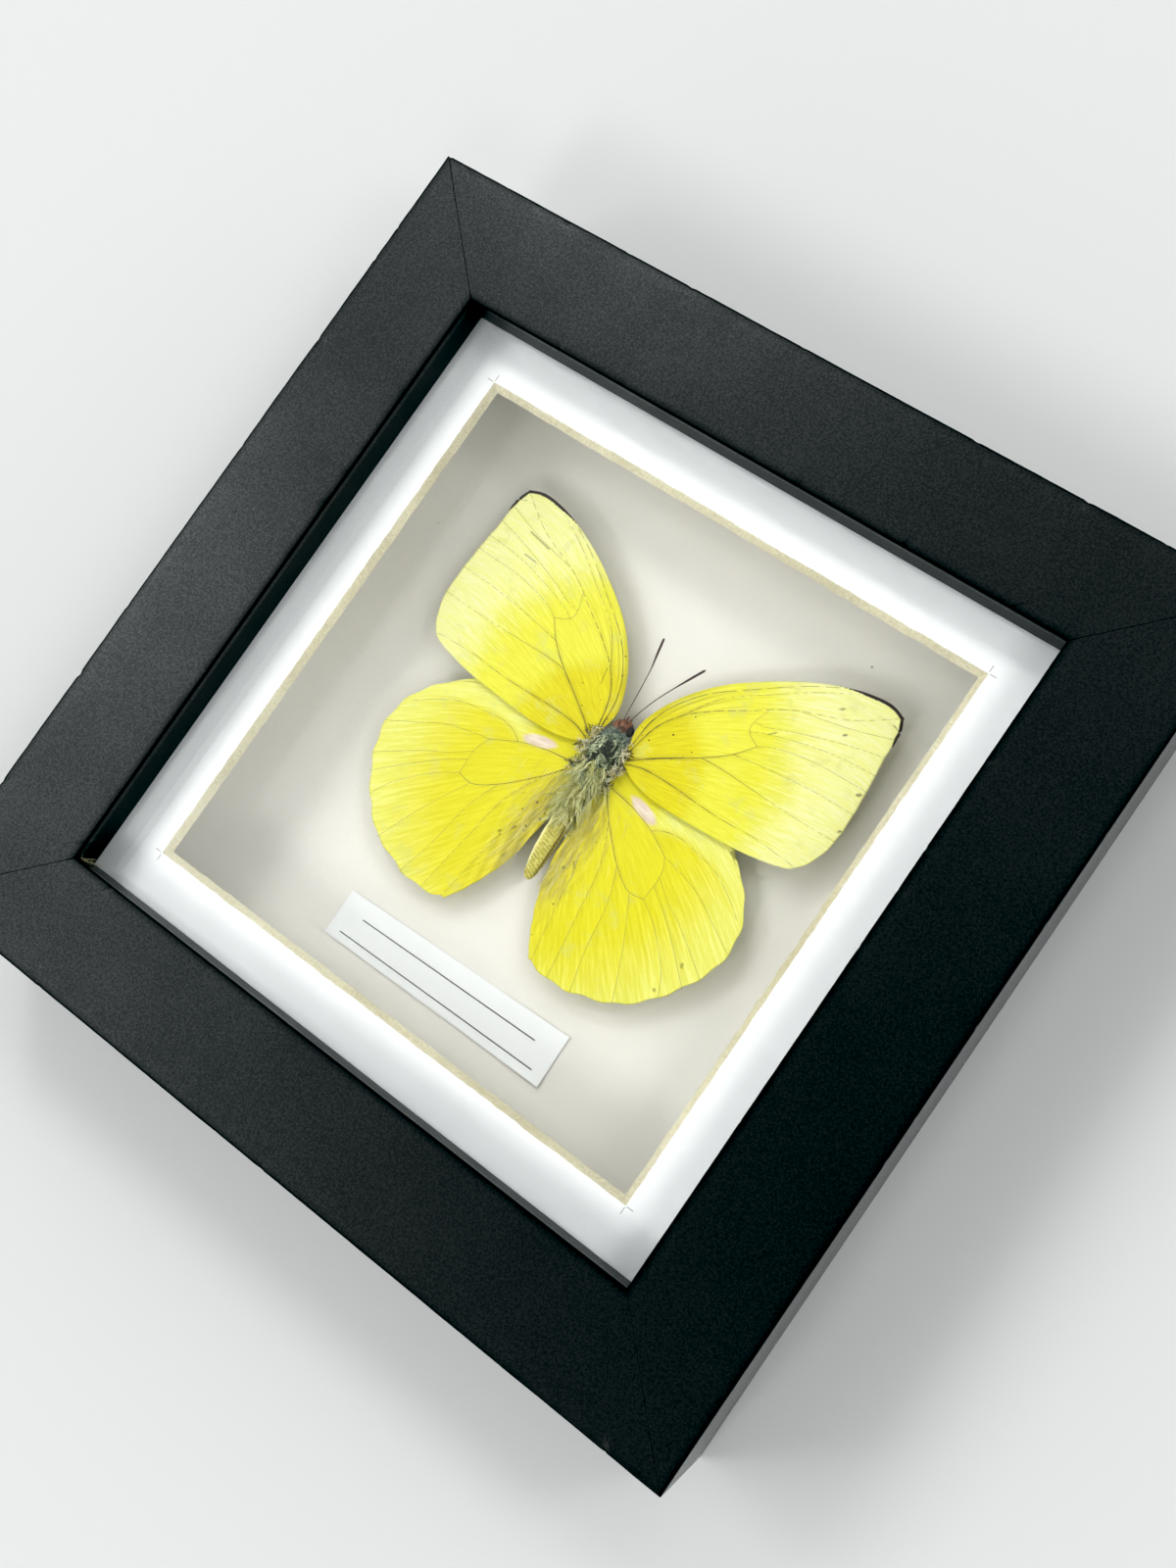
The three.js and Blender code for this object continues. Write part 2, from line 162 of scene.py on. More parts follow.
# Veins as (radius at the root end, radius at the far end, points).
FOREWING_VEINS = {
    "subcosta": (0.16, 0.07, [[2.9, 9.6], [3.3, 14.2], [5.0, 18.4], [8.6, 22.8], [14.4, 27.2], [19.6, 30.9],
                              [24.4, 33.6]]),
    "radius": (0.16, 0.05, [[3.2, 8.8], [4.4, 13.9], [6.9, 17.7], [10.6, 20.8], [15.2, 23.8], [20.8, 27.3],
                            [28.6, 30.4], [34.4, 34.2]]),
    "radius_first": (0.09, 0.05, [[6.9, 17.7], [10.4, 22.9], [16.4, 27.4], [21.6, 31.0], [27.6, 34.4]]),
    "radius_last": (0.07, 0.04, [[21.8, 27.7], [25.6, 28.4], [29.8, 29.4], [35.8, 31.3]]),
    "media_first": (0.07, 0.04, [[16.7, 22.6], [19.0, 23.0], [23.6, 24.8], [30.4, 27.0], [35.9, 28.3]]),
    "media_second": (0.07, 0.04, [[17.0, 20.9], [19.4, 22.1], [26.3, 24.1], [31.6, 25.0], [36.3, 25.3]]),
    "media_third": (0.08, 0.04, [[19.2, 19.7], [21.3, 20.8], [25.4, 21.9], [29.8, 22.4], [36.5, 22.6]]),
    "cell_end": (0.07, 0.06, [[19.2, 19.7], [17.0, 20.9], [16.7, 22.6], [17.6, 25.3]]),
    "cubitus": (0.20, 0.09, [[3.6, 7.3], [6.6, 9.6], [9.9, 11.8], [13.2, 13.9], [16.6, 16.6], [19.2, 19.7]]),
    "cubital_first": (0.09, 0.04, [[16.8, 16.8], [20.4, 17.4], [25.4, 18.1], [30.4, 18.6], [36.8, 18.8]]),
    "cubital_second": (0.10, 0.05, [[13.1, 13.8], [16.4, 14.0], [22.5, 13.9], [28.8, 13.8], [36.7, 14.0]]),
    "anal": (0.16, 0.05, [[3.6, 6.7], [6.8, 7.7], [11.8, 7.9], [17.4, 7.7], [22.6, 7.8], [27.0, 8.1],
                          [33.8, 7.7]]),
}
HINDWING_VEINS = {
    "cell_upper": (0.12, 0.07, [[3.9, 2.6], [7.2, 2.2], [10.2, 1.5], [12.8, 0.6], [14.8, -0.4],
                                [16.8, -1.5]]),
    "subcosta": (0.08, 0.04, [[12.8, 0.6], [14.5, 1.6], [17.1, 2.1], [20.6, 1.6], [24.2, 0.9], [27.8, -0.9],
                              [31.1, -3.2]]),
    "radial_sector": (0.07, 0.04, [[16.8, -1.5], [20.6, -2.3], [24.5, -3.5], [28.8, -5.9], [33.0, -8.2]]),
    "cell_end": (0.06, 0.06, [[16.8, -1.5], [17.7, -3.2], [18.0, -5.2], [17.9, -7.0], [17.8, -8.5]]),
    "media_first": (0.07, 0.04, [[17.9, -4.4], [21.2, -6.8], [25.3, -9.1], [31.7, -13.5]]),
    "media_second": (0.07, 0.04, [[18.0, -6.0], [21.5, -8.4], [25.5, -11.7], [30.3, -16.1]]),
    "media_third": (0.07, 0.04, [[17.8, -8.5], [20.8, -10.4], [23.6, -12.9], [26.4, -16.0], [28.1, -19.2]]),
    "cubitus": (0.12, 0.08, [[3.9, 1.4], [5.6, -0.8], [8.3, -3.6], [11.3, -6.4], [14.9, -8.7],
                             [17.8, -8.5]]),
    "cubital_first": (0.08, 0.04, [[15.4, -8.8], [17.6, -12.6], [20.0, -17.2], [22.9, -23.8]]),
    "cubital_second": (0.08, 0.04, [[11.6, -6.7], [13.7, -12.4], [14.9, -19.6], [16.6, -26.0]]),
    "anal": (0.08, 0.04, [[6.4, -1.7], [9.4, -8.2], [10.7, -15.6], [12.0, -23.6], [12.3, -26.3]]),
    "anal_last": (0.06, 0.04, [[4.4, -3.0], [6.2, -10.2], [7.4, -17.2], [8.3, -22.6], [8.9, -25.6]]),
}

# Dark strokes, scuffs and holes of single wings: start, end, half width.
MARKS = {
    "forewing_left": [((30.7, 29.2), (26.6, 28.4), 0.10), ((29.4, 25.7), (27.2, 25.5), 0.09),
                      ((6.9, 15.0), (7.4, 17.5), 0.06)],
    "forewing_right": [((26.5, 31.0), (26.8, 31.4), 0.15), ((29.0, 28.0), (29.3, 28.2), 0.14),
                       ((19.6, 22.2), (20.4, 23.0), 0.10),
                       ((35.7, 21.6), (36.0, 21.8), 0.22), ((36.4, 15.6), (36.6, 15.8), 0.18)],
    "hindwing_left": [((5.3, -10.4), (5.6, -10.9), 0.14), ((6.9, -12.2), (7.1, -12.4), 0.16),
                      ((4.2, -14.6), (4.5, -15.2), 0.12)],
    "hindwing_right": [((28.2, -13.1), (28.4, -13.5), 0.16), ((26.8, -18.4), (27.0, -18.6), 0.14),
                       ((24.9, 4.6), (26.0, 4.2), 0.28), ((5.6, -9.8), (6.2, -10.4), 0.14)],
}

# Chips in the outer edge: (share of the way from the trailing corner to the apex, depth, width).
FOREWING_CHIPS = [(0.995, 0.25, 0.012), (0.93, 0.32, 0.006), (0.90, 0.22, 0.005), (0.84, 0.38, 0.007),
                  (0.80, 0.20, 0.005), (0.73, 0.30, 0.006), (0.66, 0.16, 0.005), (0.48, 0.14, 0.006)]
HINDWING_CHIPS = [(0.97, 0.45, 0.010), (0.90, 0.20, 0.006), (0.52, 0.16, 0.006), (0.34, 0.22, 0.005)]

# Radius and place along the body's length, from the abdomen's tip to the front of the head.
BODY_PROFILE = [[0.02, -16], [0.55, -15.7], [0.95, -14.6], [1.3, -12.4], [1.5, -9], [1.55, -5],
                [1.5, -1.5], [1.5, 0.4], [2.2, 2], [2.6, 4.4], [2.65, 6.8], [2.2, 8.8], [1.5, 9.9],
                [1.3, 10.3], [1.35, 11], [1.25, 11.9], [0.85, 12.5], [0.02, 12.7]]

# Bare places of the thorax: place along it, angle, half length, half angle.
BARE_PLACES = [(7.3, 0.15, 1.3, 0.50), (4.4, -0.10, 1.0, 0.60)]

# Tufts at the wing roots: side, distance from the centre line, y, height over the body's axis, locks.
ROOT_TUFTS = [(-1, 2.9, 8.2, 1.3, 22), (1, 2.7, 8.2, 1.3, 22), (-1, 3.1, 5.6, 1.4, 26),
              (1, 2.9, 5.2, 1.4, 30), (-1, 2.6, 2.6, 1.1, 22), (1, 2.4, 2.4, 1.1, 26)]
ROOT_DARK_HAIRS = 22

# Feelers, measured from the centre line, out to their clubs.
ANTENNA_LEFT = [[-0.5, 12.4, 12.0], [-0.6, 13.1, 12.2], [-0.7, 15, 12.5], [-0.9, 17.6, 12.8],
                [-1.2, 20.8, 13.1], [-1.7, 23.4, 13.3], [-2.2, 26, 13.4]]
ANTENNA_RIGHT = [[0.3, 12.4, 12.0], [0.6, 13.1, 12.2], [1.2, 15, 12.5], [2.3, 17.8, 12.8],
                 [3.7, 20.6, 13.1], [5, 23.1, 13.3], [6.1, 25.2, 13.4]]


# ------------------------------------------------------------------ curves, noise and meshes

def smooth_curve(points, count):
    """count points along a uniform Catmull-Rom curve through the given ones, even in length.

    Each span is the cubic with the given ends and half the chord of the two neighbours as tangent."""
    p = np.asarray(points, float)
    padded = np.vstack([p[:1], p, p[-1:]])
    fine = np.linspace(0, len(p) - 1, 40 * len(p))
    span = np.minimum(fine.astype(int), len(p) - 2)
    t = (fine - span)[:, None]
    before, start, end, after = (padded[span + k] for k in range(4))
    leave, arrive = (end - before) / 2, (after - start) / 2
    curve = ((2 * start - 2 * end + leave + arrive) * t ** 3
             + (3 * end - 3 * start - 2 * leave - arrive) * t ** 2 + leave * t + start)
    run = np.r_[0, np.cumsum(np.linalg.norm(np.diff(curve, axis=0), axis=1))]
    wanted = np.linspace(0, run[-1], count)
    return np.stack([np.interp(wanted, run, curve[:, k]) for k in range(p.shape[1])], axis=1)


def waves(seed, *coordinates, octaves=4, gain=0.6):
    """Smooth noise from -1 to 1: sines of rising frequency along random directions, summed."""
    rng = np.random.default_rng(seed)
    total = np.zeros(np.broadcast_shapes(*(np.shape(c) for c in coordinates)))
    weight = 0
    for octave in range(octaves):
        for _ in range(4):
            direction = rng.normal(size=len(coordinates)) * 1.7 ** octave
            phase = rng.uniform(0, 2 * math.pi)
            angle = sum(d * c for d, c in zip(direction, coordinates)) + phase
            total = total + gain ** octave * np.sin(angle)
        weight += gain ** octave * 2.2
    return np.clip(total / weight, -1, 1)


def grid_quads(rows, columns, close_rows=False, close_columns=False):
    """Quads of a rows by columns grid of points, counter-clockwise where columns run to the right
    and rows run up."""
    r = np.arange(rows if close_rows else rows - 1)
    c = np.arange(columns if close_columns else columns - 1)
    r, c = (a.ravel() for a in np.meshgrid(r, c, indexing="ij"))
    up, right = (r + 1) % rows, (c + 1) % columns
    corners = [r * columns + c, r * columns + right, up * columns + right, up * columns + c]
    return np.stack(corners, axis=1)


def ring_faces(rows, columns):
    """Faces of a closed skin of rings: the quads between the rings, the first ring and the last ring.

    They point outwards where a ring runs clockwise as seen with the rows coming towards the viewer."""
    first = np.arange(columns)[None]
    last = first + (rows - 1) * columns
    return [grid_quads(rows, columns, close_columns=True)[:, ::-1], first, last[:, ::-1]]


class Shape:
    """Points in millimetres with their faces and per-point values, gathered part by part."""

    def __init__(self):
        self.points, self.faces, self.slots, self.values = [], [], [], []
        self.first, self.count = 0, 0

    def add(self, points, face_sets, slot=0, **values):
        """One part: its points, its sets of faces, which count from its own first point, and its values."""
        points = np.asarray(points, float).reshape(-1, 3)
        self.points.append(points)
        self.values.append({k: np.broadcast_to(np.ravel(v), (len(points),)) for k, v in values.items()})
        self.first, self.count = self.count, self.count + len(points)
        self.add_faces(face_sets, slot)

    def add_faces(self, face_sets, slot):
        """More faces for the part that was added last, in a material slot of their own."""
        for faces in face_sets:
            self.faces.append(faces + self.first)
            self.slots.append(np.full(len(faces), slot))

    def make(self, name, materials, uv=None):
        """One object at the origin: values become float attributes, and uv names the two for its UV map."""
        points = np.concatenate(self.points) * MM
        loops = np.concatenate([f.ravel() for f in self.faces])
        totals = np.concatenate([np.full(len(f), f.shape[1]) for f in self.faces])
        starts = np.r_[0, np.cumsum(totals)[:-1]]
        mesh = bpy.data.meshes.new(name)
        mesh.vertices.add(len(points))
        mesh.vertices.foreach_set("co", points.astype(np.float32).ravel())
        mesh.loops.add(len(loops))
        mesh.loops.foreach_set("vertex_index", loops.astype(np.int32))
        mesh.polygons.add(len(totals))
        mesh.polygons.foreach_set("loop_start", starts.astype(np.int32))
        mesh.polygons.foreach_set("material_index", np.concatenate(self.slots).astype(np.int32))
        mesh.polygons.foreach_set("use_smooth", np.full(len(totals), True))
        mesh.update(calc_edges=True)
        gathered = {}
        for key in {k for part in self.values for k in part}:
            parts = [part.get(key, np.zeros(len(p))) for part, p in zip(self.values, self.points)]
            gathered[key] = np.concatenate(parts).astype(np.float32)
            mesh.attributes.new(key, "FLOAT", "POINT").data.foreach_set("value", gathered[key])
        if uv:
            layer = mesh.uv_layers.new(name="surface")
            pairs = np.stack([gathered[uv[0]][loops], gathered[uv[1]][loops]], axis=1)
            layer.data.foreach_set("uv", pairs.astype(np.float32).ravel())
        for material in materials:
            mesh.materials.append(material)
        mesh.validate()
        obj = bpy.data.objects.new(name, mesh)
        bpy.context.scene.collection.objects.link(obj)
        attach(obj, BODY)
        return obj


def tube(path, radii, sides=8, flatten=1.0):
    """A round bar along path with the given radius at each point, closed by a face at each end.

    A ring at a point is point + radius (cos a across + flatten sin a up), up leaning to +Z."""
    path = np.asarray(path, float)
    tangent = np.gradient(path, axis=0)
    tangent /= np.linalg.norm(tangent, axis=1, keepdims=True)
    across = np.cross(tangent, [0, 0, 1.0])
    across /= np.linalg.norm(across, axis=1, keepdims=True)
    up = np.cross(across, tangent)
    angle = np.linspace(0, 2 * math.pi, sides, endpoint=False)[None, :, None]
    ring = np.cos(angle) * across[:, None] + flatten * np.sin(angle) * up[:, None]
    points = path[:, None] + ring * np.asarray(radii)[:, None, None]
    return points.reshape(-1, 3), ring_faces(len(path), sides)


def strands(paths, radius, tip=0.25):
    """Many hairs at once: three-sided bars along paths (hair, step, xyz), thinning to tip times radius.

    A ring at a point is point + radius (cos a across + sin a up) at three angles a."""
    hairs, steps, _ = paths.shape
    tangent = np.gradient(paths, axis=1)
    tangent /= np.linalg.norm(tangent, axis=2, keepdims=True) + 1e-9
    helper = np.array([0.31, 0.17, 0.93])
    across = np.cross(tangent, helper)
    across /= np.linalg.norm(across, axis=2, keepdims=True) + 1e-9
    up = np.cross(across, tangent)
    thin = np.asarray(radius).reshape(-1, 1) * np.linspace(1, tip, steps)[None]
    angle = np.array([0, 2, 4]) * math.pi / 3
    ring = (np.cos(angle)[:, None] * across[:, :, None] + np.sin(angle)[:, None] * up[:, :, None])
    points = paths[:, :, None] + ring * thin[:, :, None, None]
    one = grid_quads(steps, 3, close_columns=True)[:, ::-1]
    ends = np.array([[0, 1, 2], [3 * steps - 1, 3 * steps - 2, 3 * steps - 3]])
    offset = (np.arange(hairs) * steps * 3)[:, None, None]
    quads = (one[None] + offset).reshape(-1, 4)
    return points.reshape(-1, 3), [quads, (ends[None] + offset).reshape(-1, 3)]


def per_hair(values, steps):
    """One value a hair, repeated for each of its points."""
    return np.repeat(values, steps * 3)


def rounded_section(corners, spacing, support=0.12):
    """A closed section from (x, y, radius) corners, counter-clockwise: an arc of five steps at each
    corner, points no further apart than spacing along the flats, and one at support from a flat's ends."""
    c = np.array(corners, float)
    points = []
    for k in range(len(c)):
        here, radius = c[k, :2], c[k, 2]
        to_last = c[k - 1, :2] - here
        to_next = c[(k + 1) % len(c), :2] - here
        to_last /= np.linalg.norm(to_last)
        to_next /= np.linalg.norm(to_next)
        for share in np.linspace(0, 1, 6):
            turn = share * math.pi / 2
            points.append(here + radius * ((1 - math.sin(turn)) * to_last + (1 - math.cos(turn)) * to_next))
    closed = np.array(points + points[:1])
    filled = []
    for start, end in zip(closed[:-1], closed[1:]):
        length = np.linalg.norm(end - start)
        steps = max(1, int(np.ceil(length / spacing)))
        shares = np.linspace(0, 1, steps, endpoint=False)
        if steps > 1:
            shares = np.r_[shares[:1], support / length, shares[1:], (length - support) / length]
        filled.append(start + (end - start) * shares[:, None])
    return np.vstack(filled)


# ------------------------------------------------------------------ node helpers

def put(tree, kind, settings=None, **inputs):
    """A node of that kind; settings are its properties, inputs its sockets by name (_ for a space,
    in_0 for the first socket): a socket is linked, anything else is its value."""
    node = tree.nodes.new(kind)
    for key, value in (settings or {}).items():
        setattr(node, key, value)
    for key, value in inputs.items():
        socket = node.inputs[int(key[3:])] if key.startswith("in_") else node.inputs[key.replace("_", " ")]
        if isinstance(value, bpy.types.NodeSocket):
            tree.links.new(value, socket)
        else:
            socket.default_value = value
    return node


def math_node(tree, operation, *values):
    """The result of a Math node's operation on the values."""
    sockets = {f"in_{k}": value for k, value in enumerate(values)}
    return put(tree, "ShaderNodeMath", {"operation": operation}, **sockets).outputs[0]


def product(tree, first, *others):
    """The values multiplied together."""
    for other in others:
        first = math_node(tree, "MULTIPLY", first, other)
    return first


def centred(tree, mask, amount):
    """A mask from 0 to 1 as a push of up to half of amount either way: (mask - 0.5) amount."""
    return product(tree, math_node(tree, "SUBTRACT", mask, 0.5), amount)


def spread(tree, value, low, high, to_low=0.0, to_high=1.0):
    """value carried from low..high to to_low..to_high with soft ends."""
    node = put(tree, "ShaderNodeMapRange", {"interpolation_type": "SMOOTHSTEP"}, Value=value, From_Min=low,
               From_Max=high, To_Min=to_low, To_Max=to_high)
    return node.outputs[0]


def blend(tree, share, first, second):
    """The first colour where share is 0, the second where it is 1: sockets, or red, green and blue."""
    first, second = (c if isinstance(c, bpy.types.NodeSocket) else (*c, 1) for c in (first, second))
    node = put(tree, "ShaderNodeMix", {"data_type": "RGBA"}, in_0=share, in_6=first, in_7=second)
    return node.outputs[2]


def ramp(tree, value, low, high, first, second):
    """The first colour up to low, the second from high on, and a soft passage between them."""
    return blend(tree, spread(tree, value, low, high), first, second)


def attribute(tree, name):
    """A value that the piece's points carry."""
    return put(tree, "ShaderNodeAttribute", {"attribute_name": name}).outputs["Fac"]


def object_place(tree):
    """The place on the piece in the row's frame, in metres."""
    return put(tree, "ShaderNodeTexCoord").outputs["Object"]


def surface_place(tree):
    """The place on the piece's own UV map."""
    return put(tree, "ShaderNodeUVMap", {"uv_map": "surface"}).outputs[0]


def stretched(tree, place, scale, turn=0.0):
    """A place turned about Z and scaled along each axis."""
    node = put(tree, "ShaderNodeMapping", Vector=place, Scale=scale, Rotation=(0, 0, turn))
    return node.outputs[0]


def noise(tree, place, scale, detail=3.0, roughness=0.6, distortion=0.0):
    """Cloudy noise from 0 to 1 with about scale features a unit."""
    node = put(tree, "ShaderNodeTexNoise", Vector=place, Scale=scale, Detail=detail, Roughness=roughness,
               Distortion=distortion)
    return node.outputs["Fac"]


def bumped(tree, height, strength, distance):
    """The normal of a surface whose relief is height times distance, in metres."""
    node = put(tree, "ShaderNodeBump", Height=height, Strength=strength, Distance=distance)
    return node.outputs["Normal"]


def material(name, paint, **constants):
    """A material: paint(tree) gives what links to its Principled shader, constants the fixed values."""
    made = bpy.data.materials.new(name)
    made.use_nodes = True
    tree = made.node_tree
    tree.nodes.clear()
    shader = put(tree, "ShaderNodeBsdfPrincipled")
    output = put(tree, "ShaderNodeOutputMaterial")
    tree.links.new(shader.outputs[0], output.inputs["Surface"])
    for key, value in {**constants, **paint(tree)}.items():
        socket = shader.inputs[key.replace("_", " ")]
        if isinstance(value, bpy.types.NodeSocket):
            tree.links.new(value, socket)
        else:
            socket.default_value = value
    return made


def new_group(name, inputs, outputs):
    """A node group with named sockets: its tree, and the nodes that hold its inputs and its outputs."""
    tree = bpy.data.node_groups.new(name, "ShaderNodeTree")
    kinds = {"value": "NodeSocketFloat", "vector": "NodeSocketVector", "colour": "NodeSocketColor"}
    for key, (kind, start) in inputs.items():
        socket = tree.interface.new_socket(key, in_out="INPUT", socket_type=kinds[kind])
        if start is not None:
            socket.default_value = start
    for key, kind in outputs.items():
        tree.interface.new_socket(key, in_out="OUTPUT", socket_type=kinds[kind])
    return tree, put(tree, "NodeGroupInput"), put(tree, "NodeGroupOutput")


def paper_grain_group():
    """Felted fibres: two crossed layers of stretched noise over a soft cloudiness."""
    tree, given, out = new_group(
        "paper grain",
        {"Place": ("vector", None), "Fineness": ("value", 3000.0), "Stretch": ("value", 2.5),
         "Clouds": ("value", 0.3)},
        {"Grain": "value"})
    place, fineness = given.outputs["Place"], given.outputs["Fineness"]
    stretch, clouds = given.outputs["Stretch"], given.outputs["Clouds"]
    layers = []
    for turn in (0.7, 2.1):
        turned = put(tree, "ShaderNodeMapping", Vector=place, Rotation=(0, 0, turn)).outputs[0]
        squeezed = put(tree, "ShaderNodeCombineXYZ", X=stretch, Y=1.0, Z=1.0).outputs[0]
        along = put(tree, "ShaderNodeVectorMath", {"operation": "MULTIPLY"}, in_0=turned, in_1=squeezed)
        layers.append(noise(tree, along.outputs[0], fineness, detail=2.0))
    fibres = product(tree, math_node(tree, "ADD", *layers), 0.5)
    soft_scale = product(tree, fineness, 0.04)
    soft = noise(tree, place, soft_scale, detail=2.0)
    mixed = put(tree, "ShaderNodeMix", {"data_type": "FLOAT"}, in_0=clouds, in_2=fibres, in_3=soft)
    tree.links.new(mixed.outputs[0], out.inputs["Grain"])
    return tree


def specks_group():
    """Sparse dots: cells of a Voronoi pattern, only some of which hold a dot of their own size."""
    tree, given, out = new_group(
        "specks",
        {"Place": ("vector", None), "Density": ("value", 300.0), "Size": ("value", 0.2),
         "Share": ("value", 0.2)},
        {"Mask": "value"})
    cells = put(tree, "ShaderNodeTexVoronoi", Vector=given.outputs["Place"], Scale=given.outputs["Density"])
    pick = put(tree, "ShaderNodeSeparateColor", Color=cells.outputs["Color"])
    own_size = product(tree, given.outputs["Size"], pick.outputs[1])
    inside = math_node(tree, "LESS_THAN", cells.outputs["Distance"], own_size)
    chosen = math_node(tree, "LESS_THAN", pick.outputs[0], given.outputs["Share"])
    tree.links.new(product(tree, inside, chosen), out.inputs["Mask"])
    return tree


PAPER_GRAIN = paper_grain_group()
SPECKS = specks_group()


def paper_grain(tree, place, fineness, stretch, clouds):
    """The paper grain group in a material, with the material's own values."""
    return put(tree, "ShaderNodeGroup", {"node_tree": PAPER_GRAIN}, Place=place, Fineness=fineness,
               Stretch=stretch, Clouds=clouds).outputs[0]


def specks(tree, place, density, size, share):
    """The specks group in a material, with the material's own values."""
    return put(tree, "ShaderNodeGroup", {"node_tree": SPECKS}, Place=place, Density=density, Size=size,
               Share=share).outputs[0]


# ------------------------------------------------------------------ finishes

def paint_black_paper(tree):
    """Black paper whose raised fibres have a sheen, as a coat; the sheen is taken off its rounded edges as a
    painted dark line of shade, off its mitre joints, and off the walls of the frame's opening as painted
    shade."""
    place = object_place(tree)
    grain = paper_grain(tree, place, 2200.0, 2.2, 0.10)
    flecks = specks(tree, place, 260.0, 0.12, 0.06)
    colour = ramp(tree, grain, 0.42, 0.62, (0.0006, 0.0009, 0.0010), (0.0020, 0.0028, 0.0028))
    colour = blend(tree, product(tree, flecks, 0.3), colour, (0.10, 0.11, 0.10))
    raised = spread(tree, grain, 0.40, 0.62, 0.50, 1.0)
    # Painted shade: the coat is taken off along the rounded edges, a dark line in place of their shade, and
    # off the dark mitre joints.
    off_edge_shade = spread(tree, attribute(tree, "wear"), 0.1, 0.8, 1.0, 0.0)
    # Painted shade: the walls of the frame's opening keep only a trace of the coat, so they read dark.
    off_wall = spread(tree, attribute(tree, "wall"), 0.0, 1.0, 1.0, 0.04)
    return {"Base_Color": colour, "Roughness": spread(tree, grain, 0.3, 0.7, 0.40, 0.32),
            "Coat_Weight": product(tree, raised, off_edge_shade, off_wall),
            "Normal": bumped(tree, grain, 0.35, 0.00008)}


def paint_mat_paper(tree):
    """Bright paper with a little dust, and a score line run past each end of the window's edges."""
    place = object_place(tree)
    grain = paper_grain(tree, place, 1800.0, 1.5, 0.3)
    colour = blend(tree, grain, (0.86, 0.865, 0.88), (0.93, 0.93, 0.935))
    unsigned = put(tree, "ShaderNodeVectorMath", {"operation": "ABSOLUTE"}, in_0=place).outputs[0]
    parts = put(tree, "ShaderNodeSeparateXYZ", Vector=unsigned)
    cuts = []
    for along, beside in ((0, 1), (1, 0)):
        off = math_node(tree, "SUBTRACT", parts.outputs[beside], MAT_WINDOW_HALF * MM)
        line = math_node(tree, "LESS_THAN", math_node(tree, "ABSOLUTE", off), SCORE_HALF_WIDTH * MM)
        past = math_node(tree, "GREATER_THAN", parts.outputs[along], (MAT_WINDOW_HALF + SCORE_START) * MM)
        near = math_node(tree, "LESS_THAN", parts.outputs[along], (MAT_WINDOW_HALF + SCORE_END) * MM)
        cuts.append(product(tree, line, past, near))
    score = math_node(tree, "MAXIMUM", *cuts)
    dust = specks(tree, place, 160.0, 0.035, 0.25)
    colour = blend(tree, product(tree, score, 0.75), colour, (0.30, 0.28, 0.26))
    colour = blend(tree, product(tree, dust, 0.35), colour, (0.4, 0.38, 0.36))
    return {"Base_Color": colour, "Normal": bumped(tree, grain, 0.10, 0.00004)}


def paint_mat_core(tree):
    """The mat's cut core: long cream fibres."""
    place = object_place(tree)
    grain = paper_grain(tree, place, 1500.0, 4.0, 0.4)
    colour = ramp(tree, grain, 0.3, 0.7, (0.52, 0.47, 0.33), (0.80, 0.76, 0.61))
    return {"Base_Color": colour, "Normal": bumped(tree, grain, 0.6, 0.00015)}


def paint_mount_board(tree):
    """Warm white card with scattered dust."""
    place = object_place(tree)
    grain = paper_grain(tree, place, 1400.0, 1.3, 0.45)
    colour = blend(tree, grain, (0.79, 0.758, 0.715), (0.88, 0.855, 0.815))
    dust = specks(tree, place, 150.0, 0.04, 0.30)
    colour = blend(tree, product(tree, dust, 0.6), colour, (0.22, 0.19, 0.16))
    return {"Base_Color": colour, "Normal": bumped(tree, grain, 0.2, 0.00006)}


def paint_foam(tree):
    """White foam cut through its cells."""
    place = object_place(tree)
    cells = put(tree, "ShaderNodeTexVoronoi", Vector=place, Scale=2200.0).outputs["Distance"]
    colour = ramp(tree, cells, 0.0, 0.6, (0.72, 0.71, 0.67), (0.88, 0.875, 0.85))
    return {"Base_Color": colour, "Normal": bumped(tree, cells, 0.5, 0.00015)}


def paint_label(tree):
    """Cool white paper with two ruled lines, in the label's own coordinates from 0 to 1."""
    place = object_place(tree)
    grain = paper_grain(tree, place, 2400.0, 2.0, 0.25)
    colour = blend(tree, grain, (0.88, 0.885, 0.90), (0.94, 0.945, 0.955))
    parts = put(tree, "ShaderNodeSeparateXYZ", Vector=surface_place(tree))
    rules = []
    for height, start, end in ((0.62, 0.10, 0.90), (0.18, 0.05, 0.95)):
        off = math_node(tree, "SUBTRACT", parts.outputs[1], height)
        line = math_node(tree, "LESS_THAN", math_node(tree, "ABSOLUTE", off), 0.011)
        past = math_node(tree, "GREATER_THAN", parts.outputs[0], start)
        before = math_node(tree, "LESS_THAN", parts.outputs[0], end)
        rules.append(product(tree, line, past, before))
    ink = math_node(tree, "MAXIMUM", *rules)
    uneven = spread(tree, noise(tree, place, 4000.0), 0.3, 0.5, 0.75, 0.95)
    colour = blend(tree, product(tree, ink, uneven), colour, (0.02, 0.02, 0.022))
    return {"Base_Color": colour, "Normal": bumped(tree, grain, 0.25, 0.00004)}


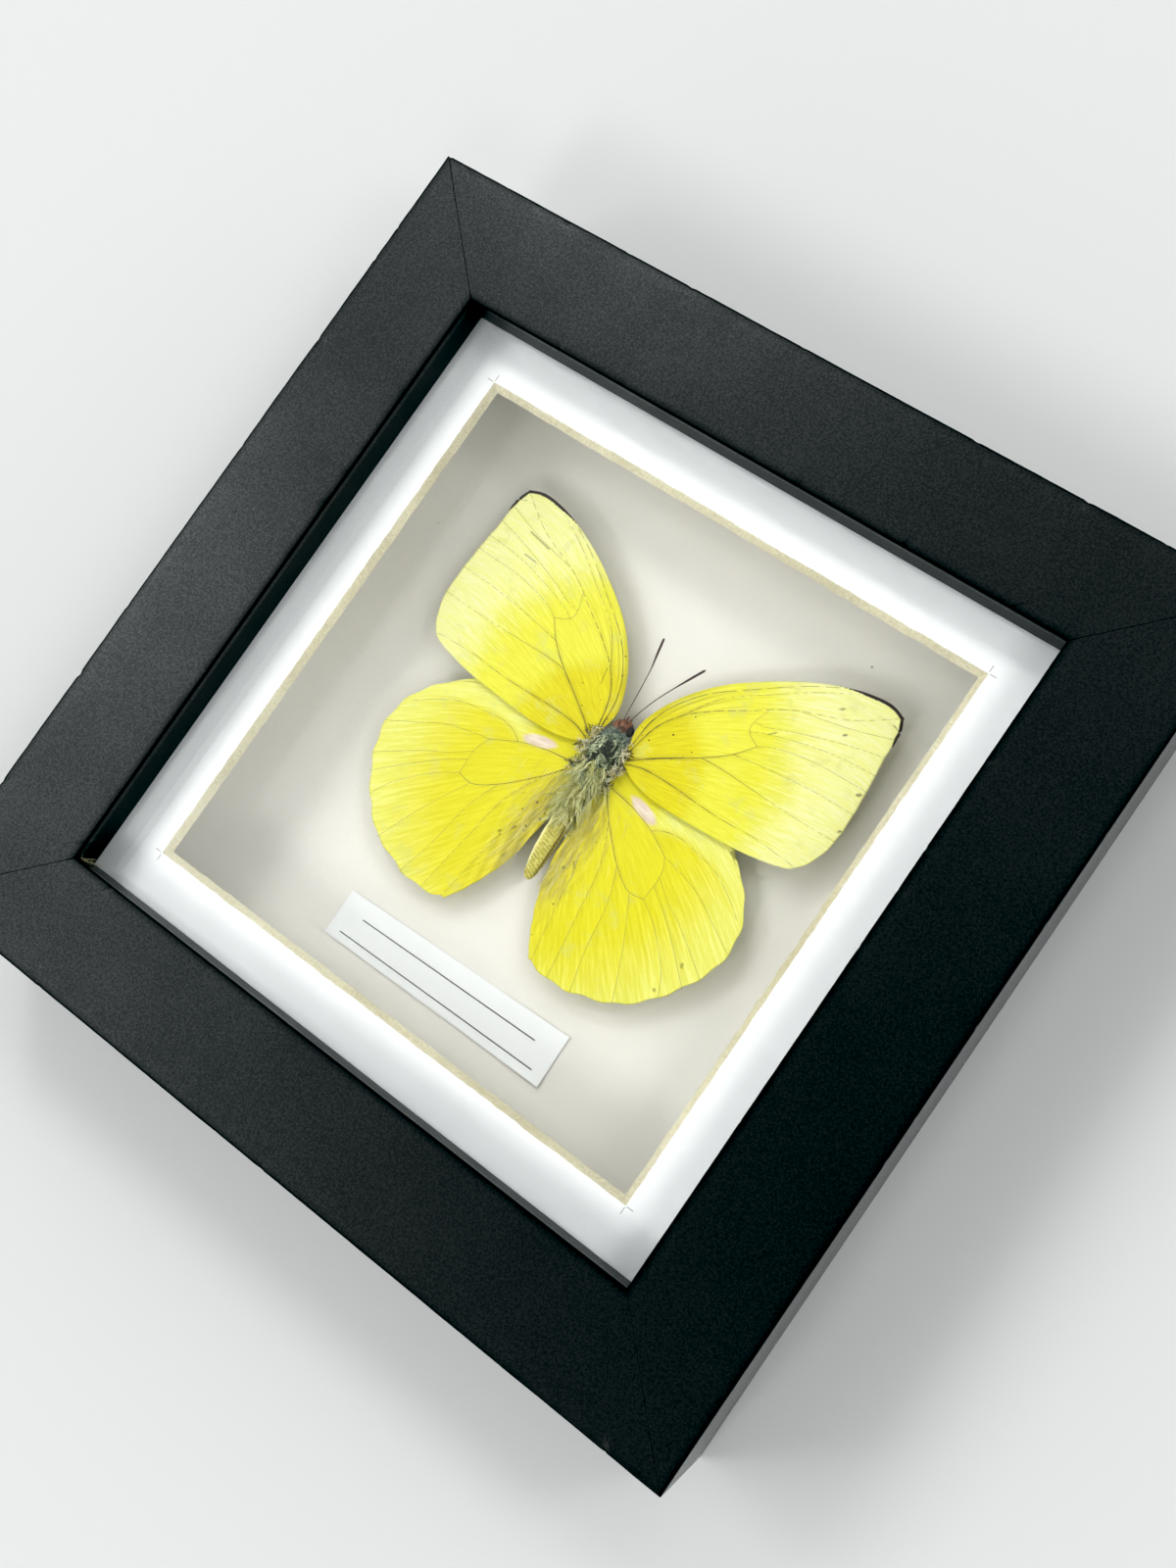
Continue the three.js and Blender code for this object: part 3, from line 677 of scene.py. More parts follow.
def paint_hardboard(tree):
    """Pressed brown fibres with darker chips among them and pale scuffs."""
    place = object_place(tree)
    grain = paper_grain(tree, place, 900.0, 5.0, 0.35)
    colour = ramp(tree, grain, 0.3, 0.7, (0.10, 0.048, 0.020), (0.26, 0.15, 0.075))
    chips = specks(tree, place, 420.0, 0.45, 0.25)
    colour = blend(tree, product(tree, chips, 0.4), colour, (0.06, 0.028, 0.012))
    scuffs = spread(tree, noise(tree, stretched(tree, place, (40, 400, 40), 0.5), 1.0, 4.0), 0.58, 0.7)
    colour = blend(tree, product(tree, scuffs, 0.25), colour, (0.36, 0.24, 0.14))
    return {"Base_Color": colour, "Roughness": spread(tree, grain, 0.3, 0.7, 0.55, 0.78),
            "Normal": bumped(tree, grain, 0.4, 0.00012)}


def paint_zinc(tree):
    """Zinc with its crystals, fine brush lines and dull patches."""
    place = object_place(tree)
    brushed = noise(tree, stretched(tree, place, (300, 6000, 300)), 1.0, 3.0)
    spangle = put(tree, "ShaderNodeTexVoronoi", Vector=place, Scale=700.0).outputs["Color"]
    tone = put(tree, "ShaderNodeSeparateColor", Color=spangle).outputs[0]
    colour = ramp(tree, tone, 0, 1, (0.44, 0.45, 0.46), (0.62, 0.63, 0.64))
    dull = spread(tree, noise(tree, place, 260.0, 4.0), 0.5, 0.72)
    colour = blend(tree, product(tree, dull, 0.5), colour, (0.30, 0.29, 0.27))
    return {"Base_Color": colour, "Roughness": spread(tree, brushed, 0.3, 0.7, 0.26, 0.44),
            "Normal": bumped(tree, brushed, 0.3, 0.00003)}


def wing_scales(tree):
    """Rows of scales: fine grain stretched along the veins, and slow streaks between them."""
    place = surface_place(tree)
    fine = noise(tree, stretched(tree, place, (1.0, 3.2, 1.0)), 9.0, 2.0, 0.7)
    streak = noise(tree, stretched(tree, place, (0.22, 2.6, 1.0)), 1.0, 4.0, 0.65, 0.2)
    blotch = noise(tree, stretched(tree, place, (0.5, 1.0, 1.0)), 0.55, 3.0, 0.6)
    return fine, streak, blotch


def paint_forewing(tree):
    """Deep yellow at the root, lemon across the middle, cream towards the tip, each border ragged."""
    fine, streak, blotch = wing_scales(tree)
    place = object_place(tree)
    deep = ramp(tree, streak, 0.35, 0.68, (0.66, 0.565, 0.006), (0.76, 0.70, 0.018))
    lemon = ramp(tree, streak, 0.35, 0.68, (0.75, 0.715, 0.050), (0.81, 0.785, 0.11))
    pale = ramp(tree, streak, 0.40, 0.70, (0.82, 0.81, 0.33), (0.86, 0.855, 0.52))
    ragged = math_node(tree, "ADD", centred(tree, streak, 0.5), centred(tree, blotch, 0.45))
    near = math_node(tree, "ADD", attribute(tree, "middle"), ragged)
    far = math_node(tree, "ADD", attribute(tree, "pale"), ragged)
    colour = ramp(tree, near, 0.2, 0.9, deep, lemon)
    colour = ramp(tree, far, 0.2, 1.0, colour, pale)
    colour = blend(tree, spread(tree, fine, 0.50, 0.72, 0.0, 0.35), colour, (0.57, 0.51, 0.04))
    rubbed = spread(tree, noise(tree, place, 230.0, 5.0, 0.7), 0.54, 0.66, 0.0, 0.35)
    colour = blend(tree, rubbed, colour, (0.66, 0.65, 0.26))
    # Olive darkening: painted shade along the veins and folds, and a thin line along the outer edge.
    colour = blend(tree, attribute(tree, "shade"), colour, (0.46, 0.38, 0.02))
    edge = math_node(tree, "ADD", attribute(tree, "apex"), centred(tree, blotch, 0.6))
    colour = ramp(tree, edge, 0.36, 0.54, colour, (0.035, 0.018, 0.012))
    dots = product(tree, specks(tree, place, 1500.0, 0.34, 0.10), attribute(tree, "flecks"))
    dark = math_node(tree, "MAXIMUM", dots, attribute(tree, "marks"))
    colour = blend(tree, dark, colour, (0.09, 0.065, 0.01))
    return {"Base_Color": colour, "Normal": bumped(tree, fine, 0.3, 0.00004)}


def paint_hindwing(tree):
    """Yellow with radial streaks, pale on its leading edge, olive ochre along its inner margin."""
    fine, streak, blotch = wing_scales(tree)
    place = object_place(tree)
    yellow = ramp(tree, streak, 0.34, 0.68, (0.71, 0.64, 0.014), (0.775, 0.72, 0.040))
    pale = ramp(tree, streak, 0.4, 0.7, (0.79, 0.775, 0.18), (0.85, 0.845, 0.32))
    reach = math_node(tree, "ADD", attribute(tree, "pale"), centred(tree, streak, 0.45))
    colour = ramp(tree, reach, 0.1, 1.0, yellow, pale)
    colour = blend(tree, spread(tree, fine, 0.50, 0.72, 0.0, 0.32), colour, (0.56, 0.49, 0.04))
    rubbed = spread(tree, noise(tree, place, 210.0, 5.0, 0.7), 0.55, 0.68, 0.0, 0.35)
    colour = blend(tree, rubbed, colour, (0.66, 0.65, 0.24))
    patch = math_node(tree, "ADD", attribute(tree, "patch"), centred(tree, blotch, 0.5))
    rosy = ramp(tree, blotch, 0.35, 0.65, (0.72, 0.57, 0.49), (0.82, 0.73, 0.63))
    colour = ramp(tree, patch, 0.20, 0.70, colour, rosy)
    olive = ramp(tree, streak, 0.35, 0.65, (0.50, 0.40, 0.05), (0.80, 0.71, 0.20))
    # Olive along the inner margin and the outer edge, and painted shade along the veins.
    colour = blend(tree, attribute(tree, "inner"), colour, olive)
    dots = product(tree, specks(tree, place, 1500.0, 0.38, 0.16), attribute(tree, "flecks"))
    dark = math_node(tree, "MAXIMUM", dots, attribute(tree, "marks"))
    colour = blend(tree, dark, colour, (0.09, 0.06, 0.01))
    return {"Base_Color": colour, "Normal": bumped(tree, fine, 0.3, 0.00004)}


def paint_vein(tree):
    """Brown at the root and close to the wing's own colour at the margin."""
    along = attribute(tree, "along")
    uneven = noise(tree, object_place(tree), 700.0, 2.0)
    dark = ramp(tree, uneven, 0.35, 0.65, (0.17, 0.13, 0.008), (0.38, 0.33, 0.02))
    colour = ramp(tree, along, 0.1, 0.9, dark, (0.40, 0.37, 0.10))
    return {"Base_Color": colour, "Normal": bumped(tree, uneven, 0.3, 0.00003)}


def paint_skin(tree):
    """The body under its hair: black thorax, yellow olive abdomen with a painted highlight along its left
    ridge and brown along its right side, darkened to painted shade in its furrow.
    """
    place = object_place(tree)
    fine = noise(tree, place, 2600.0, 3.0)
    thorax = ramp(tree, fine, 0.35, 0.65, (0.006, 0.006, 0.005), (0.045, 0.045, 0.028))
    olive = ramp(tree, fine, 0.35, 0.65, (0.52, 0.46, 0.08), (0.72, 0.66, 0.22))
    uneven = spread(tree, noise(tree, place, 700.0), 0.3, 0.7, 0.1, 0.8)
    broken = product(tree, attribute(tree, "ring"), uneven)
    olive = blend(tree, broken, olive, (0.24, 0.18, 0.03))
    # Painted highlight along the abdomen's left ridge.
    olive = blend(tree, attribute(tree, "keel"), olive, (0.84, 0.80, 0.42))
    # Brown along the right side, darkened to painted shade in the furrow.
    olive = blend(tree, attribute(tree, "furrow"), olive, (0.13, 0.07, 0.012))
    colour = blend(tree, attribute(tree, "abdomen"), thorax, olive)
    return {"Base_Color": colour, "Normal": bumped(tree, fine, 0.5, 0.00005)}


def paint_head(tree):
    """Dark brown skin with rough red brown scales."""
    fine = noise(tree, object_place(tree), 1300.0, 4.0, 0.7, 0.8)
    colour = ramp(tree, fine, 0.36, 0.66, (0.035, 0.012, 0.006), (0.36, 0.16, 0.08))
    return {"Base_Color": colour, "Normal": bumped(tree, fine, 0.8, 0.00012)}


def paint_eye(tree):
    """Near black, with fine facets."""
    facets = put(tree, "ShaderNodeTexVoronoi", Vector=object_place(tree), Scale=9000.0).outputs["Distance"]
    colour = ramp(tree, facets, 0.0, 0.6, (0.006, 0.004, 0.004), (0.014, 0.009, 0.008))
    return {"Base_Color": colour, "Normal": bumped(tree, facets, 0.25, 0.00002)}


def hair(name, dark, pale):
    """A hair material: each hair's own tone, a little uneven along it, between a dark and a pale colour."""
    def paint(tree):
        uneven = noise(tree, object_place(tree), 900.0, 2.0)
        tone = math_node(tree, "ADD", attribute(tree, "tone"), centred(tree, uneven, 0.6))
        return {"Base_Color": ramp(tree, tone, 0.0, 1.0, dark, pale)}
    return material(name, paint, Roughness=0.6)


def paint_antenna(tree):
    """A brown shaft and a darker club."""
    fine = noise(tree, object_place(tree), 2600.0, 2.0)
    club = ramp(tree, fine, 0.35, 0.65, (0.030, 0.012, 0.012), (0.085, 0.040, 0.036))
    shaft = ramp(tree, fine, 0.35, 0.65, (0.10, 0.055, 0.045), (0.20, 0.13, 0.10))
    colour = blend(tree, attribute(tree, "club"), shaft, club)
    return {"Base_Color": colour, "Normal": bumped(tree, fine, 0.4, 0.00003)}


def paint_floor(tree):
    """A pale, faintly clouded floor."""
    soft = noise(tree, object_place(tree), 3.0, 3.0)
    colour = blend(tree, soft, (0.89, 0.892, 0.885), (0.925, 0.927, 0.92))
    return {"Base_Color": colour}


def make_glass():
    """Clear glass that lets lamps shine through: the Transparent shader stands in for shadow rays."""
    made = material("clear glass", lambda tree: {}, Base_Color=(1, 1, 1, 1), Roughness=0.0, IOR=1.5,
                    Transmission_Weight=1.0)
    tree = made.node_tree
    shader = next(n for n in tree.nodes if n.type == "BSDF_PRINCIPLED")
    output = next(n for n in tree.nodes if n.type == "OUTPUT_MATERIAL")
    ray = put(tree, "ShaderNodeLightPath").outputs["Is Shadow Ray"]
    clear = put(tree, "ShaderNodeBsdfTransparent", Color=(0.94, 0.96, 0.95, 1)).outputs[0]
    mixed = put(tree, "ShaderNodeMixShader", in_0=ray, in_1=shader.outputs[0], in_2=clear)
    tree.links.new(mixed.outputs[0], output.inputs["Surface"])
    return made


BLACK_PAPER = material("black paper wrap", paint_black_paper, Specular_IOR_Level=0.12, Coat_IOR=1.68,
                       Coat_Roughness=0.36)
GLASS = make_glass()
MAT_PAPER = material("mat face paper", paint_mat_paper, Roughness=0.75)
MAT_CORE = material("mat cream core", paint_mat_core, Roughness=0.9)
MOUNT_BOARD = material("mounting board", paint_mount_board, Roughness=0.8)
FOAM = material("white foam", paint_foam, Roughness=0.85)
LABEL_PAPER = material("label paper", paint_label, Roughness=0.6)
HARDBOARD = material("brown hardboard", paint_hardboard)
ZINC = material("zinc plated steel", paint_zinc, Metallic=1.0)
FOREWING_SCALES = material("forewing scales", paint_forewing, Roughness=0.62, Specular_IOR_Level=0.3)
HINDWING_SCALES = material("hindwing scales", paint_hindwing, Roughness=0.62, Specular_IOR_Level=0.3)
VEIN = material("wing vein", paint_vein, Roughness=0.5)
SKIN = material("body skin", paint_skin, Roughness=0.7)
HEAD_SKIN = material("head skin", paint_head, Roughness=0.55)
EYE = material("compound eye", paint_eye, Roughness=0.25)
ANTENNA = material("antenna", paint_antenna, Roughness=0.45)
GREY_HAIR = hair("grey green hair", (0.09, 0.11, 0.05), (0.82, 0.88, 0.62))
COLLAR_HAIR = hair("collar hair", (0.16, 0.20, 0.17), (0.62, 0.72, 0.62))
DARK_HAIR = hair("dark hair", (0.006, 0.005, 0.003), (0.09, 0.07, 0.03))
OLIVE_HAIR = hair("olive hair", (0.44, 0.43, 0.11), (0.99, 0.98, 0.60))
OCHRE_HAIR = hair("ochre hair", (0.55, 0.46, 0.10), (0.94, 0.90, 0.50))
CREAM_HAIR = hair("cream hair", (0.66, 0.58, 0.30), (1.0, 0.97, 0.78))
FLOOR = material("pale floor", paint_floor, Roughness=0.7)


# ------------------------------------------------------------------ frame rails

RAIL_TURNS = {"bottom": 0, "right": 1, "top": 2, "left": 3}


def quarter_turns(points, turns):
    """Points turned about Z by so many right angles, anticlockwise."""
    x, y = points[..., 0], points[..., 1]
    for _ in range(turns):
        x, y = -y, x
    return np.stack([x, y, points[..., 2]], axis=-1)


def rail(name, turns):
    """A rail: its rounded L section carried along the side, each point out to its own mitre.

    A section point (s, z) at share t of the length is at (t (s - gap), -s, z). Close to the mitre it is
    moved in along the section's normal, which leaves a fine groove there."""
    section = rounded_section([
        (HALF, 0, REAR_OUTER_RADIUS), (HALF, FACE_Z, FACE_OUTER_RADIUS),
        (SIGHT_HALF, FACE_Z, FACE_SIGHT_RADIUS), (SIGHT_HALF, LIP_UNDERSIDE, HIDDEN_RADIUS),
        (RABBET_HALF, LIP_UNDERSIDE, HIDDEN_RADIUS), (RABBET_HALF, 0, REAR_RABBET_RADIUS)], RAIL_SPACING)
    ahead = np.roll(section, -1, axis=0) - np.roll(section, 1, axis=0)
    ahead /= np.linalg.norm(ahead, axis=1, keepdims=True)
    share = np.sin(np.linspace(-math.pi / 2, math.pi / 2, RAIL_STATIONS))[:, None]
    to_mitre = (1 - np.abs(share)) * section[:, 0][None]
    groove = MITRE_GROOVE * np.clip(1 - to_mitre / MITRE_GROOVE_WIDTH, 0, 1)
    out = section[:, 0][None] - groove * ahead[:, 1][None]
    height = section[:, 1][None] + groove * ahead[:, 0][None]
    along = share * (out - MITRE_GAP)
    face_edge = np.exp(-((height - FACE_Z) / EDGE_WEAR_REACH) ** 2)
    outer_edge = np.exp(-((out - HALF) / EDGE_WEAR_REACH) ** 2) * face_edge
    sight_edge = np.exp(-((out - SIGHT_HALF) / EDGE_WEAR_REACH) ** 2) * face_edge
    ripple = waves(10 + turns, along * 0.5, out * 0.02)
    chips = np.clip(waves(20 + turns, along * 2.3, 1.0, octaves=3) - 0.62, 0, 1) * 0.45
    inward = chips * (outer_edge + 0.7 * sight_edge) + 0.03 * (1 + ripple) * (outer_edge + sight_edge)
    sideways = np.where(out > (HALF + SIGHT_HALF) / 2, -inward, inward)
    points = np.stack([along, -(out + sideways), height - inward + 0 * along], axis=-1)
    # Mask for a painted dark line of shade along the rounded face edges, where the coat is taken off, and
    # for the dark mitre joints.
    wear = np.clip(outer_edge + sight_edge + (to_mitre < MITRE_WEAR_WIDTH), 0, 1)
    # Mask for painted shade on the walls of the opening, which lose their coat.
    wall = (out < SIGHT_HALF + 0.2) * (height < FACE_Z - 0.5) * 1.0
    shape = Shape()
    shape.add(quarter_turns(points, turns), ring_faces(RAIL_STATIONS, len(section)), wear=wear, wall=wall)
    if name == "left":
        add_torn_fibres(shape)
    piece = shape.make(f"rail_{name}_finish", [BLACK_PAPER, CREAM_HAIR])
    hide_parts(f"rail_{name}")


def add_torn_fibres(shape):
    """Torn wrap fibres at the lip's lower left corner: short walks whose headings drift at random."""
    rng = np.random.default_rng(77)
    count, steps = TORN_FIBRES, 7
    corner = np.array([-SIGHT_HALF + 0.1, -SIGHT_HALF + 0.1, FACE_Z - 0.3])
    start = corner + rng.uniform(0, 1, (count, 1, 3)) * [0.5, 0.15, -4.5]
    heading = np.cumsum(rng.normal(0, 0.35, (count, steps, 3)), axis=1) + [0.7, 0.25, -0.35]
    paths = start + np.cumsum(heading * 0.16, axis=1)
    points, faces = strands(paths, 0.03)
    tone = per_hair(rng.uniform(0, 1, count), steps)
    shape.add(points, faces, slot=1, tone=tone)


# ------------------------------------------------------------------ mat and label

def mat():
    """The mat: a closed section carried round a square, its window edge cut with a faint wobble.

    A section point (s, z) at share t of a side is at (t s, -s, z), turned to its side by right angles."""
    thick = MAT_TOP - MAT_BOTTOM
    outer = INSERT_HALF - 0.1
    inner = MAT_WINDOW_HALF - MAT_BEVEL
    face_lines = (outer, outer - 0.2, outer - 2, *MAT_FACE_LINES, MAT_WINDOW_HALF + 0.15)
    face = [[line, MAT_TOP] for line in face_lines]
    cut = [[MAT_WINDOW_HALF, MAT_TOP - 0.03]]
    cut += [[MAT_WINDOW_HALF - MAT_BEVEL * share, MAT_TOP - thick * share] for share in (0.33, 0.66)]
    cut += [[inner, MAT_BOTTOM + 0.02]]
    rear = [[inner + 0.1, MAT_BOTTOM], [MAT_REAR_LINE, MAT_BOTTOM]]
    section = np.array([[outer, MAT_BOTTOM], *face, *cut, *rear])
    share = np.linspace(-1, 1, MAT_STATIONS, endpoint=False)[:, None]
    bevel = (section[:, 0] < MAT_WINDOW_HALF + 0.1)[None] * (section[:, 1] > MAT_BOTTOM + 0.01)[None]
    rings = []
    for turns in range(4):
        fade = 1 - np.abs(share) ** 12
        wobble = fade * (0.06 * waves(40 + turns, share * 30, 0.0)
                         + 0.09 * waves(50 + turns, share * 80, section[None, :, 1] * 3, octaves=3))
        out = section[None, :, 0] + wobble * bevel
        side = np.stack([share * out, -out, section[None, :, 1] + 0 * out], axis=-1)
        rings.append(quarter_turns(side, turns))
    points = np.concatenate(rings)
    rows, columns = points.shape[:2]
    quads = grid_quads(rows, columns, close_rows=True, close_columns=True)
    column = np.arange(len(quads)) % columns
    first_cut = 1 + len(face)
    core = (column >= first_cut) & (column < first_cut + len(cut) - 1)
    shape = Shape()
    shape.add(points, [quads[~core][:, ::-1]])
    shape.add_faces([quads[core][:, ::-1]], slot=1)
    piece = shape.make("window_mat_finish", [MAT_PAPER, MAT_CORE])
    piece.data.set_sharp_from_angle(angle=math.radians(35))
    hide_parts("window_mat")


def closed_sheet(top, bottom, rows, columns):
    """Faces of a closed thin sheet from a grid of top points and the same grid of bottom points, which
    are joined along the rim."""
    grid = np.arange(rows * columns).reshape(rows, columns)
    rim = np.concatenate([grid[0, :-1], grid[:-1, -1], grid[-1, :0:-1], grid[:0:-1, 0]])
    after = np.roll(rim, -1)
    count = rows * columns
    edge = np.stack([rim, rim + count, after + count, after], axis=1)
    quads = grid_quads(rows, columns)
    points = np.concatenate([top.reshape(-1, 3), bottom.reshape(-1, 3)])
    return points, [quads, quads[:, ::-1] + count, edge]


def label():
    """The label: a four-cornered sheet, bilinear between its corners, its free corners a little curled."""
    rows, columns = 16, 70
    u = np.linspace(0, 1, columns)[None, :, None]
    v = np.linspace(0, 1, rows)[:, None, None]
    a, b, c, d = LABEL_CORNERS
    plan = (1 - v) * ((1 - u) * a + u * b) + v * ((1 - u) * d + u * c)
    u, v = u[..., 0] + 0 * v[..., 0], v[..., 0] + 0 * u[..., 0]
    curl = 0.35 * (u * (1 - v)) ** 6 + 0.22 * ((1 - u) * v) ** 8 + 0.05 * (1 + waves(5, u * 6, v * 2))
    height = LABEL_BOTTOM - LABEL_SINK + curl
    top = np.dstack([plan, height + LABEL_THICKNESS])
    bottom = np.dstack([plan, height])
    points, faces = closed_sheet(top, bottom, rows, columns)
    shape = Shape()
    shape.add(points, faces, across=np.tile(u.ravel(), 2), up=np.tile(v.ravel(), 2))
    piece = shape.make("label_strip_finish", [LABEL_PAPER], uv=("across", "up"))
    piece.data.set_sharp_from_angle(angle=math.radians(40))
    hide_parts("label_strip")


# ------------------------------------------------------------------ plain made pieces

def softened(node, finish, width):
    """A copy of a CAD node with its triangles merged and its sharp edges rounded by width millimetres."""
    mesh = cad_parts[node].data.copy()
    mesh.name = f"{node}_finish"
    piece = bpy.data.objects.new(f"{node}_finish", mesh)
    bpy.context.scene.collection.objects.link(piece)
    mesh.materials.clear()
    mesh.materials.append(finish)
    weld = piece.modifiers.new("weld", "WELD")
    weld.merge_threshold = 0.000005
    flat = piece.modifiers.new("flat faces", "DECIMATE")
    flat.decimate_type = "DISSOLVE"
    flat.angle_limit = math.radians(1)
    bevel = piece.modifiers.new("soft edges", "BEVEL")
    bevel.width = width * MM
    bevel.segments = 3
    bevel.limit_method = "ANGLE"
    bevel.angle_limit = math.radians(30)
    bevel.harden_normals = True
    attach(piece, BODY)
    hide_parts(node)


def made_pieces():
    """The plain pieces: boards, spacers, pad, tabs, hanger and rivets, and the glass in its own finish."""
    softened("mounting_board", MOUNT_BOARD, 0.12)
    softened("back_panel", HARDBOARD, 0.2)
    softened("glue_pad", FOAM, 0.3)
    for side in ("top", "bottom", "left", "right"):
        softened(f"spacer_{side}", FOAM, 0.25)
        for k in (1, 2):
            softened(f"retaining_tab_{side}_{k}", ZINC, 0.08)
    softened("sawtooth_hanger", ZINC, 0.08)
    for side in ("left", "right"):
        softened(f"hanger_rivet_{side}", ZINC, 0.1)
    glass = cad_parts["glass_pane"]
    glass.data.materials.clear()
    glass.data.materials.append(GLASS)


# ------------------------------------------------------------------ wings

def wing_edges(costa, termen, dorsum):
    """A wing's trailing, leading, root and outer edge as even points, the root edge a straight line."""
    low = smooth_curve(dorsum, WING_COLUMNS)
    high = smooth_curve(costa, WING_COLUMNS)
    near = np.linspace(low[0], high[0], WING_ROWS)
    far = smooth_curve(termen[::-1], WING_ROWS)
    return low, high, near, far


def patch_between(low, high, near, far):
    """The surface between four edges: each pair blended in its own direction, less the corners' blend.

    u runs from the root to the outer edge, v from the trailing to the leading edge."""
    u = np.linspace(0, 1, WING_COLUMNS)[None, :, None]
    v = np.linspace(0, 1, WING_ROWS)[:, None, None]
    along = (1 - v) * low[None] + v * high[None]
    across = (1 - u) * near[:, None] + u * far[:, None]
    corners = (1 - v) * ((1 - u) * low[0] + u * low[-1]) + v * ((1 - u) * high[0] + u * high[-1])
    return along + across - corners


def chipped(edge, chips, seed, scallop):
    """The outer edge moved inwards by its chips, a triangle each, by even scallops of the given depth, and
    by a finer raggedness all along."""
    v = np.linspace(0, 1, len(edge))
    depth = RAGGEDNESS * np.abs(waves(seed, v * 160, 0.0, octaves=3))
    depth = depth + scallop * (0.5 + 0.5 * np.cos(v * 2 * math.pi * SCALLOPS))
    for place, deep, wide in chips:
        depth = np.maximum(depth, deep * np.clip(1 - np.abs(v - place) / wide, 0, 1))
    ahead = np.gradient(edge, axis=0)
    ahead /= np.linalg.norm(ahead, axis=1, keepdims=True)
    inward = np.stack([-ahead[:, 1], ahead[:, 0]], axis=1)
    fade = np.clip(np.minimum(v, 1 - v) * 80, 0, 1)
    return edge + inward * (depth * fade)[:, None]


def distance_to(points, lines, samples_a_line=90, batch=4000):
    """Distance from each point to the nearest of the polylines, which are sampled finely."""
    samples = np.concatenate([smooth_curve(line, samples_a_line) for line in lines])
    flat = points.reshape(-1, 2)
    nearest = np.empty(len(flat))
    for start in range(0, len(flat), batch):
        apart = flat[start:start + batch, None] - samples[None]
        nearest[start:start + batch] = np.sqrt((apart ** 2).sum(2)).min(1)
    return nearest.reshape(points.shape[:-1])


def vein_relief(gap):
    """Height over the wing's middle surface for a gap to the nearest vein: a ridge in a wide trough."""
    ridge = RIDGE_HEIGHT * np.exp(-(gap / RIDGE_WIDTH) ** 2)
    return ridge - TROUGH_DEPTH * (1 - np.exp(-(gap / TROUGH_WIDTH) ** 2))


def slow_wave(seed, x, y):
    """A wing's slow waviness: soft noise over its plan."""
    return SLOW_WAVE * waves(seed, x * SLOW_WAVE_RATE, y * SLOW_WAVE_RATE, octaves=2)


def forewing_form(plan, veins):
    """Height: vein relief and a slow wave."""
    return vein_relief(distance_to(plan, veins)) + slow_wave(61, plan[..., 0], plan[..., 1])


def hindwing_form(plan, veins):
    """Height: vein relief, a slow wave, and pleats along the inner margin."""
    x, y = plan[..., 0], plan[..., 1]
    margin = np.clip(1 - (x - 3) / 6.5, 0, 1) * np.clip(-(y + 1) / 6, 0, 1)
    pleats = 0.22 * np.sin((x - 0.16 * (y + 12)) * 3.6) * margin
    return vein_relief(distance_to(plan, veins)) + slow_wave(62, x, y) + pleats


def to_row(x, y, z, side, height, rise):
    """From wing coordinates to the row's frame: turned about the body's centre line by the rise."""
    return np.stack([
        BUTTERFLY_X + side * (x * math.cos(rise) - z * math.sin(rise)),
        y + 0 * x,
        height + x * math.sin(rise) + z * math.cos(rise)], axis=-1)


def soft_step(value, low, high):
    """0 up to low, 1 from high on, and t t (3 - 2 t) between them."""
    t = np.clip((value - low) / (high - low), 0, 1)
    return t * t * (3 - 2 * t)


def marks_near(x, y, marks):
    """0.7 inside a mark (start, end, half width) and 0 outside it, with a soft edge 0.2 wide."""
    cover = np.zeros(x.shape)
    for (x0, y0), (x1, y1), width in marks:
        length = max((x1 - x0) ** 2 + (y1 - y0) ** 2, 1e-6)
        share = np.clip(((x - x0) * (x1 - x0) + (y - y0) * (y1 - y0)) / length, 0, 1)
        gap = np.hypot(x - x0 - share * (x1 - x0), y - y0 - share * (y1 - y0))
        cover = np.maximum(cover, 0.70 * soft_step(width - gap, -0.1, 0.1))
    return cover


def edge_line(gap_to_rim, u):
    """A thin darker line along the outer edge, which fades with the gap to the rim."""
    return 0.7 * np.clip(1.2 - gap_to_rim / 0.16, 0, 1) * soft_step(u, 0.90, 0.97)


def forewing_values(x, y, u, v, gap_to_rim, gap):
    """Where the forewing turns lemon and pale, dark at the apex, darker along its veins and folds as painted
    shade, and flecked.
    """
    outward = np.hypot(x - 3, y - 8)
    middle = soft_step(outward + 3 * v, 9, 17)
    pale = soft_step(outward + 2.5 * (1 - v), 16, 34)
    apex_x, apex_y = FOREWING["costa"][-1]
    to_apex = np.hypot(x - apex_x, y - apex_y)
    on_costa = soft_step(v, 0.88, 0.96) * soft_step(12 - to_apex, 0, 8)
    on_termen = soft_step(u, 0.90, 0.97) * soft_step(5.2 - to_apex, 0, 2.6)
    reach = np.maximum(on_costa, on_termen)
    apex = np.clip(1 - gap_to_rim / (0.16 + 0.80 * reach), 0, 1) * (reach > 0.02)
    thin_costa = 0.5 * np.clip(1 - gap_to_rim / 0.18, 0, 1) * soft_step(v, 0.97, 0.995)
    thin_costa = thin_costa * soft_step(u, 0.2, 0.5)
    # Painted shade along the veins, strongest towards the root.
    vein_shade = 0.45 * np.exp(-(gap / 0.40) ** 2) * soft_step(22 - outward, 0, 18)
    # Painted shade in bands along folds near the leading edge; the wing's form has no such folds.
    fold_shade = 0.5 * soft_step(v, 0.72, 0.9) * soft_step(np.sin(gap_to_rim * 5.5), 0.2, 1)
    fold_shade = fold_shade * soft_step(22 - outward, 0, 10)
    shade = np.maximum(np.maximum(vein_shade, fold_shade), 0.6 * edge_line(gap_to_rim, u))
    flecks = soft_step(17 - outward, 0, 8) * soft_step(v, 0.35, 0.6)
    return {"middle": middle, "pale": pale, "apex": np.maximum(apex, thin_costa), "shade": shade,
            "flecks": flecks}


